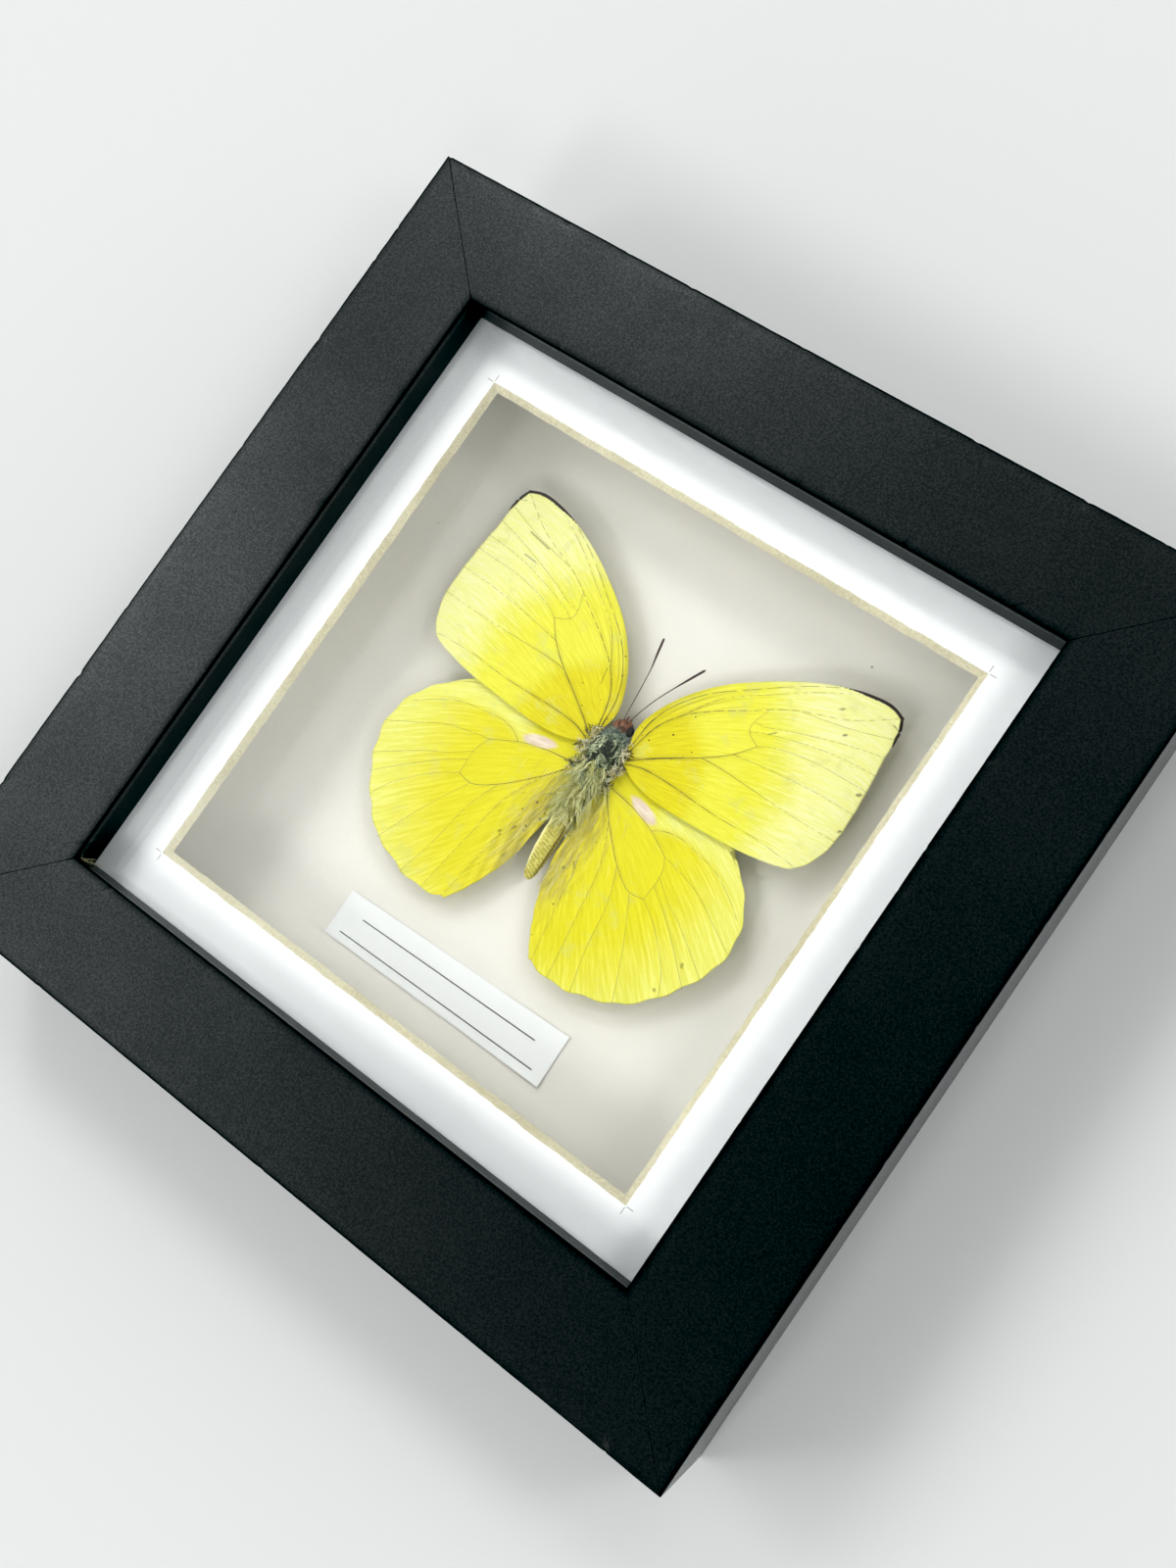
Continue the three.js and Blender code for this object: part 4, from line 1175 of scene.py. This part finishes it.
def hindwing_values(x, y, u, _, gap_to_rim, gap):
    """Where the hindwing is pale, olive at its inner margin, darker along its veins as painted shade,
    pinkish by its cell, and flecked.
    """
    costal = soft_step(y - (2.0 - 0.037 * (x - 19) ** 2), -1.8, 2.0) * soft_step(x, 9, 15)
    outer = soft_step(np.hypot(x - 3, y) + 0.25 * (y + 10), 14, 33) * 0.9
    along = (x - 10.0) * 0.95 + (y - 2.5) * (-0.31)
    beside = (y - 2.5) * 0.95 + (x - 10.0) * 0.31
    patch = np.clip(1.55 - np.hypot(along / 2.6, beside / 0.88), 0, 1)
    margin = 0.60 * soft_step(9.0 - x - 0.10 * (y + 8), 0, 7) * soft_step(-y, -3, 4) * soft_step(y, -27, -14)
    # Painted shade along the veins, strongest towards the root.
    vein_shade = 0.40 * np.exp(-(gap / 0.40) ** 2) * soft_step(22 - np.hypot(x, y), 0, 16)
    inner = np.maximum(np.maximum(margin, vein_shade), edge_line(gap_to_rim, u))
    flecks = soft_step(9 - x, 0, 5) * soft_step(-y, 2, 6)
    return {"pale": np.maximum(costal * 0.95, outer), "patch": patch, "inner": inner, "flecks": flecks}


def wing(name, side, outline, veins, chips, form, values, height, rise, finish, slot):
    """A wing: a thin closed sheet on the patch between its edges, with its veins as raised bars."""
    low, high, near, far = wing_edges(**outline)
    far = chipped(far, chips, sum(map(ord, name)), SCALLOP_DEPTH[slot])
    plan = patch_between(low, high, near, far)
    lines = [points for _, _, points in veins.values()]
    gap = distance_to(plan, lines)
    gap_to_rim = distance_to(plan, outline.values())
    middle = WING_MIDDLE + form(plan, lines)
    thick = WING_THICKNESS / 2 * soft_step(gap_to_rim, -0.05, 0.35)
    x, y = plan[..., 0], plan[..., 1]
    top = to_row(x, y, middle + thick, side, height, rise)
    bottom = to_row(x, y, middle - thick, side, height, rise)
    points, faces = closed_sheet(top, bottom, WING_ROWS, WING_COLUMNS)
    if side < 0:
        faces = [quads[:, ::-1] for quads in faces]
    u = np.linspace(0, 1, WING_COLUMNS)[None] + 0 * x
    v = np.linspace(0, 1, WING_ROWS)[:, None] + 0 * x
    looks = values(x, y, u, v, gap_to_rim, gap)
    looks["marks"] = marks_near(x, y, MARKS.get(name, []))
    looks["radial"] = u * np.linalg.norm(high[-1] - high[0])
    looks["turning"] = v * np.linalg.norm(far[-1] - far[0])
    shape = Shape()
    shape.add(points, faces, **{key: np.tile(value.ravel(), 2) for key, value in looks.items()})
    for root_radius, far_radius, line in veins.values():
        path = smooth_curve(line, 14 * len(line))
        lift = WING_MIDDLE + form(path, lines) + WING_THICKNESS / 2 - VEIN_SINK
        share = np.linspace(0, 1, len(path))
        radii = VEIN_GIRTH * (root_radius + (far_radius - root_radius) * np.sqrt(share))
        radii = np.maximum(radii, VEIN_LEAST_RADIUS)
        start, end = (np.hypot(path[k, 0] - 3, path[k, 1] - 6) / 34 for k in (0, -1))
        axis = to_row(path[:, 0], path[:, 1], lift, side, height, rise)
        bar, bar_faces = tube(axis, radii, VEIN_SIDES, VEIN_FLATTEN)
        shape.add(bar, bar_faces, slot=1, along=np.repeat(start + (end - start) * share, VEIN_SIDES))
    piece = shape.make(f"{name}_scaled", [finish, VEIN], uv=("radial", "turning"))
    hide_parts(name)


# ------------------------------------------------------------------ body, head and feelers

def body_radius(y):
    """The body's radius at a place along it, read off its profile."""
    profile = smooth_curve(np.array(BODY_PROFILE), 400)
    return np.interp(y, profile[:, 1], profile[:, 0])


def body_sway(y):
    """How far the abdomen swings to the right, growing with the square of the way to its tip."""
    return ABDOMEN_SWAY * (np.clip(-y, 0, None) / ABDOMEN_LENGTH) ** 2


def on_body(y, angle, lift=0.0):
    """A point on the body: radius from the profile, flattened, swayed behind the thorax; angle 0 is
    straight up and grows to the right."""
    radius = body_radius(y) + lift
    return np.stack([
        BUTTERFLY_X + radius * np.sin(angle) + body_sway(y),
        y + 0 * angle,
        BODY_HEIGHT + BODY_FLATTEN * radius * np.cos(angle)], axis=-1)


def ball(centre, radii, rows=18, columns=28, dent=0.0, seed=1):
    """A closed ball with its own radii and a little unevenness, poles along Y.

    A point is centre + size (a sin p cos t, b cos p, c sin p sin t) for the radii a, b and c."""
    polar = np.linspace(0.02, math.pi - 0.02, rows)[:, None]
    turn = np.linspace(0, 2 * math.pi, columns, endpoint=False)[None]
    place = (np.cos(turn) * 3 * np.sin(polar), np.sin(turn) * 3 * np.sin(polar), np.cos(polar) * 3)
    size = 1 + dent * waves(seed, *place)
    points = np.stack([
        centre[0] + radii[0] * size * np.sin(polar) * np.cos(turn),
        centre[1] + radii[1] * size * np.cos(polar),
        centre[2] + radii[2] * size * np.sin(polar) * np.sin(turn)], axis=-1)
    return points.reshape(-1, 3), [faces[:, ::-1] for faces in ring_faces(rows, columns)]


def body():
    """Thorax, ringed abdomen, head with eyes and palps, gathered into one piece."""
    rows, columns = 420, 56
    y = np.linspace(BODY_REAR, BODY_FRONT, rows)[:, None]
    angle = np.linspace(-math.pi, math.pi, columns, endpoint=False)[None]
    behind = soft_step(-y, -2.6, 0.6)
    rings = 0.07 * np.abs(np.sin((y + ABDOMEN_LENGTH) * math.pi / ABDOMEN_RING_LENGTH)) ** 0.5 * behind
    # The keel is a ridge along the abdomen's left side; its pale colour is a painted highlight.
    keel = 0.17 * np.exp(-((angle + 0.80) / 0.22) ** 2) * behind * soft_step(y, -15.5, -13)
    # The furrow runs along the abdomen's right side; its dark brown is partly its own brown line and partly
    # painted shade.
    furrow = np.exp(-((angle - 1.25) / 0.16) ** 2) * behind * soft_step(y, -15.5, -12)
    ring = (0.5 + 0.5 * np.sin((y + 0.45 * angle) * 10.5)) * behind
    rough = 0.05 * waves(70, y * 1.3, np.sin(angle) * 3, np.cos(angle) * 3)
    lift = (rings + keel - 0.30 * furrow + rough) * (body_radius(y) > 0.3)
    points = on_body(y + 0 * angle, angle + 0 * y, lift)
    skin, tip, front = (faces[:, ::-1] for faces in ring_faces(rows, columns))
    on_head = np.repeat(y[:-1] > NECK_Y, columns)
    shape = Shape()
    shape.add(points, [skin[~on_head], tip],
              abdomen=behind + 0 * angle, furrow=furrow, ring=ring, keel=6 * keel)
    shape.add_faces([skin[on_head], front], slot=1)
    top = BODY_HEIGHT + 0.25
    for side in (-1, 1):
        points, faces = ball((BUTTERFLY_X + side * 1.12, 11.25, top), EYE_RADII, seed=3)
        shape.add(points, faces, slot=2 if side > 0 else 1)
        palp = np.array([[side * 0.3, 12.0, 0.2], [side * 0.36, 12.7, 0.3], [side * 0.3, 13.3, 0.25]])
        path = smooth_curve(palp, 12) + [BUTTERFLY_X, 0, BODY_HEIGHT]
        points, faces = tube(path, PALP_RADIUS * np.sqrt(np.linspace(1, 0.05, 12)), sides=12)
        shape.add(points, faces, slot=1)
    points, faces = ball((BUTTERFLY_X - 0.05, 11.6, top + 0.45), CREST_RADII, dent=0.26, seed=5)
    shape.add(points, faces, slot=1)
    piece = shape.make("butterfly_body_skin", [SKIN, HEAD_SKIN, EYE])
    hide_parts("butterfly_body")


def hair_paths(rng, start, heading, length, curl, steps, members=1):
    """Curly hairs: each heads off and turns about its heading like a loose helix of its own pitch,
    which members hairs in a row share, so that they lie together as a lock.

    Step k moves by length / steps along heading + curl (cos p across + sin p up), p growing with k."""
    locks = len(start) // members
    heading = heading / np.linalg.norm(heading, axis=1, keepdims=True)
    across = np.cross(heading, [0.0, 0.3, 1.0])
    across /= np.linalg.norm(across, axis=1, keepdims=True)
    up = np.cross(across, heading)
    phase = rng.uniform(0, 2 * math.pi, (locks, 1)) + rng.uniform(0.3, 0.75, (locks, 1)) * np.arange(steps)
    phase = np.repeat(phase, members, axis=0)
    bend = (np.cos(phase)[..., None] * across[:, None] + np.sin(phase)[..., None] * up[:, None])
    step = heading[:, None] + curl[:, None, None] * bend
    step = step / np.linalg.norm(step, axis=2, keepdims=True) * (length / steps)[:, None, None]
    return start[:, None] + np.cumsum(step, axis=1) - step[:, :1]


def in_locks(rng, values, members, scatter):
    """Each value repeated for the members of its lock, with a little scatter."""
    repeated = np.repeat(values, members, axis=0)
    return repeated + rng.normal(0, scatter, repeated.shape)


def outside_body(paths, clearance):
    """Hair points that would be inside the body, moved straight out from its axis to its surface."""
    y = paths[..., 1]
    x = paths[..., 0] - BUTTERFLY_X - body_sway(y)
    z = (paths[..., 2] - BODY_HEIGHT) / BODY_FLATTEN
    reach = np.hypot(x, z) + 1e-6
    least = np.where((y > -ABDOMEN_LENGTH) & (y < 12.6), body_radius(y) + clearance, 0)
    grow = np.maximum(1, least / reach)
    x_out = BUTTERFLY_X + body_sway(y) + x * grow
    z_out = BODY_HEIGHT + BODY_FLATTEN * z * grow
    return np.stack([x_out, y, z_out], axis=-1)


def around(angle):
    """Outward and sideways unit directions of the body at each angle."""
    nothing = 0 * angle
    outward = np.stack([np.sin(angle), nothing, np.cos(angle)], axis=1)
    sideways = np.stack([np.cos(angle), nothing, -np.sin(angle)], axis=1)
    return outward, sideways


def thorax_locks(rng, shape):
    """Matted locks over the thorax, with two bare black places along its middle."""
    steps, members, locks = 12, 5, 175
    y = rng.uniform(0.8, 9.8, locks)
    angle = rng.normal(0, 0.9, locks).clip(-1.7, 1.7)
    for bare_y, bare_angle, half_length, half_angle in BARE_PLACES:
        keep = np.hypot((y - bare_y) / half_length, (angle - bare_angle) / half_angle) >= 1
        y, angle = y[keep], angle[keep]
    outward, sideways = around(angle)
    swirl = rng.normal(0, 0.9, (len(y), 1))
    heading = outward * rng.uniform(0.1, 0.45, (len(y), 1)) + sideways * swirl + [0, -0.9, 0]
    start = in_locks(rng, on_body(y, angle), members, 0.10)
    heading = in_locks(rng, heading, members, 0.10)
    length = in_locks(rng, rng.uniform(1.3, 3.0, len(y)), members, 0.15).clip(0.8)
    curl = in_locks(rng, rng.uniform(0.5, 1.5, len(y)), members, 0.05)
    tone = in_locks(rng, rng.beta(0.7, 0.5, len(y)), members, 0.2)
    paths = outside_body(hair_paths(rng, start, heading, length, curl, steps, members), 0.06)
    points, faces = strands(paths, rng.uniform(0.045, 0.095, len(start)))
    shape.add(points, faces, tone=per_hair(tone, steps))


def thorax_undercoat(rng, shape):
    """Short dark hair that lies close under the locks."""
    count, steps = 700, 6
    y = rng.uniform(0.5, 9.8, count)
    angle = rng.uniform(-1.8, 1.8, count)
    outward, sideways = around(angle)
    heading = outward * 0.4 + sideways * rng.normal(0, 0.8, (count, 1)) + [0, -0.8, 0]
    length = rng.uniform(0.5, 1.1, count)
    paths = hair_paths(rng, on_body(y, angle), heading, length, np.full(count, 0.6), steps)
    points, faces = strands(outside_body(paths, 0.03), rng.uniform(0.03, 0.05, count))
    shape.add(points, faces, tone=per_hair(rng.uniform(-0.5, 0.35, count), steps))


def collar(rng, shape):
    """A dense pale collar that stands up between the thorax and the head."""
    count, steps = 460, 6
    y = rng.uniform(8.4, 10.5, count)
    angle = rng.uniform(-1.5, 1.5, count)
    outward, _ = around(angle)
    heading = outward + [0, 0.2, 0] + rng.normal(0, 0.4, (count, 3))
    length = rng.uniform(0.5, 0.9, count)
    paths = hair_paths(rng, on_body(y, angle), heading, length, np.full(count, 0.4), steps)
    points, faces = strands(paths, rng.uniform(0.05, 0.10, count))
    shape.add(points, faces, slot=1, tone=per_hair(rng.uniform(0.1, 1.0, count), steps))


def thorax_hair():
    """The thorax's locks, undercoat and collar as one piece."""
    rng = np.random.default_rng(11)
    shape = Shape()
    thorax_locks(rng, shape)
    thorax_undercoat(rng, shape)
    collar(rng, shape)
    piece = shape.make("thorax_hair", [GREY_HAIR, COLLAR_HAIR])


def swept_hair():
    """Long wavy locks swept back from the thorax over the abdomen and the wings' inner margins."""
    rng = np.random.default_rng(12)
    locks, members, steps = 170, 5, 16
    y = rng.uniform(-7.0, 4.0, locks) + rng.exponential(1.0, locks)
    angle = rng.normal(-0.05, 0.95, locks).clip(-1.7, 1.6)
    outward, _ = around(angle)
    fan = (angle * 0.34 + rng.normal(0, 0.25, locks))[:, None] * [1.0, 0, 0]
    heading = outward * rng.uniform(0.05, 0.28, (locks, 1)) + fan + [0.0, -1.0, 0]
    lift = rng.uniform(0, 0.9, locks) * soft_step(y, -8, -3) * (y < 3)
    start = in_locks(rng, on_body(y, angle, lift), members, 0.13)
    heading = in_locks(rng, heading, members, 0.05)
    length = in_locks(rng, rng.uniform(2.2, 5.0, locks) * (0.5 + 0.5 * soft_step(y, -6, 1)), members, 0.4)
    curl = in_locks(rng, rng.uniform(0.1, 0.8, locks), members, 0.04)
    tone = in_locks(rng, rng.uniform(0.0, 1.0, locks), members, 0.12)
    paths = outside_body(hair_paths(rng, start, heading, length.clip(1), curl, steps, members), 0.08)
    points, faces = strands(paths, rng.uniform(0.035, 0.08, len(start)))
    shape = Shape()
    shape.add(points, faces, tone=per_hair(tone, steps))
    piece = shape.make("abdomen_hair", [OLIVE_HAIR])


def root_tufts():
    """Cream tufts of curled locks with dark hairs among them, where each wing joins the thorax."""
    rng = np.random.default_rng(13)
    shape = Shape()
    steps, members = 12, 4
    for side, out, y, height, locks in ROOT_TUFTS:
        centre = np.array([BUTTERFLY_X + side * out, y, BODY_HEIGHT + height])
        start = centre + rng.normal(0, 1, (locks, 3)) * [0.35, 0.7, 0.15]
        heading = np.array([side * 0.7, -0.3, 0.2]) + rng.normal(0, 0.7, (locks, 3))
        curl = in_locks(rng, rng.uniform(0.4, 1.5, locks), members, 0.05)
        length = in_locks(rng, rng.uniform(0.9, 2.0, locks), members, 0.1)
        tone = in_locks(rng, rng.uniform(0, 1, locks), members, 0.1)
        start = in_locks(rng, start, members, 0.07)
        heading = in_locks(rng, heading, members, 0.08)
        points, faces = strands(hair_paths(rng, start, heading, length, curl, steps, members),
                                rng.uniform(0.05, 0.085, len(start)))
        shape.add(points, faces, tone=per_hair(tone, steps))
        start = centre + rng.normal(0, 1, (ROOT_DARK_HAIRS, 3)) * [0.45, 0.45, 0.1] + [side * 0.5, 0, 0.25]
        heading = np.array([side * 0.9, -0.2, 0.3]) + rng.normal(0, 0.8, (ROOT_DARK_HAIRS, 3))
        length = rng.uniform(0.5, 1.4, ROOT_DARK_HAIRS)
        paths = hair_paths(rng, start, heading, length, np.full(ROOT_DARK_HAIRS, 0.7), steps)
        points, faces = strands(paths, rng.uniform(0.05, 0.09, ROOT_DARK_HAIRS))
        shape.add(points, faces, slot=1, tone=per_hair(rng.uniform(0, 1, ROOT_DARK_HAIRS), steps))
    piece = shape.make("wing_root_tufts", [CREAM_HAIR, DARK_HAIR])


def margin_hair(side, name):
    """Fine hair combed along a hindwing's inner margin, lying on its pleats."""
    rng = np.random.default_rng(14 + side)
    count, steps = 260, 9
    lines = [points for _, _, points in HINDWING_VEINS.values()]
    x = 2.7 + rng.gamma(1.6, 1.1, count)
    y = rng.uniform(-15, 1.0, count)
    length = rng.uniform(1.4, 3.6, count)
    lean = rng.normal(0.10, 0.10, count) + 0.02 * (x - 3)
    share = np.linspace(0, 1, steps)[None]
    x, y, length, lean = (value[:, None] for value in (x, y, length, lean))
    path_x = x + lean * length * share + 0.10 * np.sin(share * 5 + x * 7)
    path_y = y - length * share
    height = WING_MIDDLE + hindwing_form(np.stack([path_x, path_y], -1), lines) + WING_THICKNESS / 2
    height = height + 0.03 + 0.10 * np.sin(share * math.pi) * rng.uniform(0.1, 1, (count, 1))
    paths = to_row(path_x, path_y, height, side, HINDWING_HEIGHT, HINDWING_RISE)
    points, faces = strands(paths, rng.uniform(0.025, 0.045, count))
    shape = Shape()
    shape.add(points, faces, tone=per_hair(rng.uniform(0, 1, count), steps))
    piece = shape.make(name, [OCHRE_HAIR])


def antenna(name, points):
    """A feeler: a thin shaft that swells into a club over its outer half."""
    path = smooth_curve(np.array(points) + [BUTTERFLY_X, 0, 0], 90)
    share = np.linspace(0, 1, len(path))
    club = soft_step(share, 0.55, 0.88)
    end = np.sqrt(np.clip(1 - ((share - 0.97) / 0.03).clip(0, 1) ** 2, 0.02, 1))
    rings = 1 + 0.06 * np.sin(share * 260)
    radii = (ANTENNA_RADIUS + CLUB_SWELLING * club) * end * rings
    bar, faces = tube(path, radii, sides=10)
    shape = Shape()
    shape.add(bar, faces, club=np.repeat(soft_step(share, 0.35, 0.7), 10))
    piece = shape.make(f"{name}_horn", [ANTENNA])
    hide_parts(name)


def butterfly():
    """The specimen: wings with their margin hair, body, hair and feelers."""
    for side, word in ((-1, "left"), (1, "right")):
        wing(f"forewing_{word}", side, FOREWING, FOREWING_VEINS, FOREWING_CHIPS, forewing_form,
             forewing_values, FOREWING_HEIGHT, FOREWING_RISE, FOREWING_SCALES, "wing_yellow")
        wing(f"hindwing_{word}", side, HINDWING, HINDWING_VEINS, HINDWING_CHIPS, hindwing_form,
             hindwing_values, HINDWING_HEIGHT, HINDWING_RISE, HINDWING_SCALES, "wing_pale_yellow")
        margin_hair(side, f"hindwing_{word}_margin_hair")
    body()
    thorax_hair()
    swept_hair()
    root_tufts()
    antenna("antenna_left", ANTENNA_LEFT)
    antenna("antenna_right", ANTENNA_RIGHT)


# ------------------------------------------------------------------ stage, light and camera

FLOOR_REACH = 10.0
LAMP_DISTANCE = 1.3
LAMP_SIZE = 0.26
LAMP_ELEVATION = math.radians(49)
LAMP_POWERS = {0: 1.2, 45: 1.5, 90: 0.45, 135: 1.95, 180: 1.55, 225: 0.95, 270: 2.1, 315: 0.9}
DARK_TOWARDS = (0.20, -0.35, 0.915)
GLOW_TOWARDS = (-0.60, -0.24, 0.763)
SKY_LOW = (1.0, 1.01, 1.01)
SKY_HIGH = (0.59, 0.61, 0.61)
SKY_HORIZON = (0.50, 0.515, 0.51)
SKY_DARK = (0.02, 0.022, 0.023)
SKY_GLOW = (1.65, 1.72, 1.72)
VIEW_GAMMA = 0.85
VIEW_BLACK = (0.020, 0.0135, 0.013)

CAMERA_PLACE = (0.0802, -0.0111, 0.2535)
CAMERA_RIGHT = (0.7902, 0.5690, -0.2277)
CAMERA_UP = (-0.5295, 0.8209, 0.2137)
CAMERA_BACK = (0.3085, -0.0483, 0.9500)
CAMERA_LENS = 38.37
CAMERA_SENSOR = 36.0
CAMERA_NEAREST = 0.01


def stage():
    """A pale floor under the frame's rear face, and a ring of eight soft lamps of unequal power."""
    mesh = bpy.data.meshes.new("floor")
    corners = [(x * FLOOR_REACH, y * FLOOR_REACH, 0) for x, y in ((-1, -1), (1, -1), (1, 1), (-1, 1))]
    mesh.from_pydata(corners, [], [(0, 1, 2, 3)])
    mesh.materials.append(FLOOR)
    floor = bpy.data.objects.new("floor", mesh)
    bpy.context.scene.collection.objects.link(floor)
    for azimuth, power in LAMP_POWERS.items():
        lamp = bpy.data.lights.new(f"lamp_{azimuth}", "AREA")
        lamp.energy = power
        lamp.shape = "DISK"
        lamp.size = LAMP_SIZE
        turn = math.radians(azimuth)
        level = math.cos(LAMP_ELEVATION)
        towards = Vector((level * math.cos(turn), level * math.sin(turn), math.sin(LAMP_ELEVATION)))
        obj = bpy.data.objects.new(f"lamp_{azimuth}", lamp)
        obj.location = towards * LAMP_DISTANCE
        obj.rotation_euler = towards.to_track_quat("Z", "Y").to_euler()
        bpy.context.scene.collection.objects.link(obj)


def near_direction(tree, direction, towards, low, high):
    """0 where the sky is away from a direction and 1 close to it, by the cosine between them."""
    cosine = put(tree, "ShaderNodeVectorMath", {"operation": "DOT_PRODUCT"}, in_0=direction, in_1=towards)
    return spread(tree, cosine.outputs["Value"], low, high)


def sky():
    """A world that is dark overhead and to one side of it, paler all round, as grey as the far floor where
    it meets it, and has a glow to the left."""
    world = bpy.data.worlds.new("studio")
    world.use_nodes = True
    tree = world.node_tree
    tree.nodes.clear()
    direction = put(tree, "ShaderNodeTexCoord").outputs["Generated"]
    height = put(tree, "ShaderNodeSeparateXYZ", Vector=direction).outputs[2]
    colour = ramp(tree, height, 0.0, 0.6, SKY_LOW, SKY_HIGH)
    colour = ramp(tree, height, 0.0, 0.15, SKY_HORIZON, colour)
    colour = blend(tree, near_direction(tree, direction, DARK_TOWARDS, 0.60, 0.93), colour, SKY_DARK)
    colour = blend(tree, near_direction(tree, direction, GLOW_TOWARDS, 0.92, 1.0), colour, SKY_GLOW)
    background = put(tree, "ShaderNodeBackground", Color=colour, Strength=1.0)
    output = put(tree, "ShaderNodeOutputWorld")
    tree.links.new(background.outputs[0], output.inputs["Surface"])
    bpy.context.scene.world = world


def camera():
    """The camera, placed by its own right, up and back directions."""
    data = bpy.data.cameras.new("camera")
    data.lens = CAMERA_LENS
    data.sensor_width = CAMERA_SENSOR
    data.sensor_fit = "AUTO"
    data.clip_start = CAMERA_NEAREST
    obj = bpy.data.objects.new("camera", data)
    turn = Matrix((CAMERA_RIGHT, CAMERA_UP, CAMERA_BACK)).transposed()
    obj.matrix_world = Matrix.Translation(CAMERA_PLACE) @ turn.to_4x4()
    bpy.context.scene.collection.objects.link(obj)
    bpy.context.scene.camera = obj


def view():
    """How the picture is toned: a plain transform with a low gamma and lifted blacks."""
    settings = bpy.context.scene.view_settings
    settings.view_transform = "Standard"
    settings.gamma = VIEW_GAMMA
    settings.use_curve_mapping = True
    settings.curve_mapping.black_level = VIEW_BLACK
    settings.curve_mapping.update()


# ------------------------------------------------------------------ the whole specimen

camera()
stage()
sky()
view()
for rail_name, rail_turns in RAIL_TURNS.items():
    rail(rail_name, rail_turns)
mat()
label()
made_pieces()
butterfly()
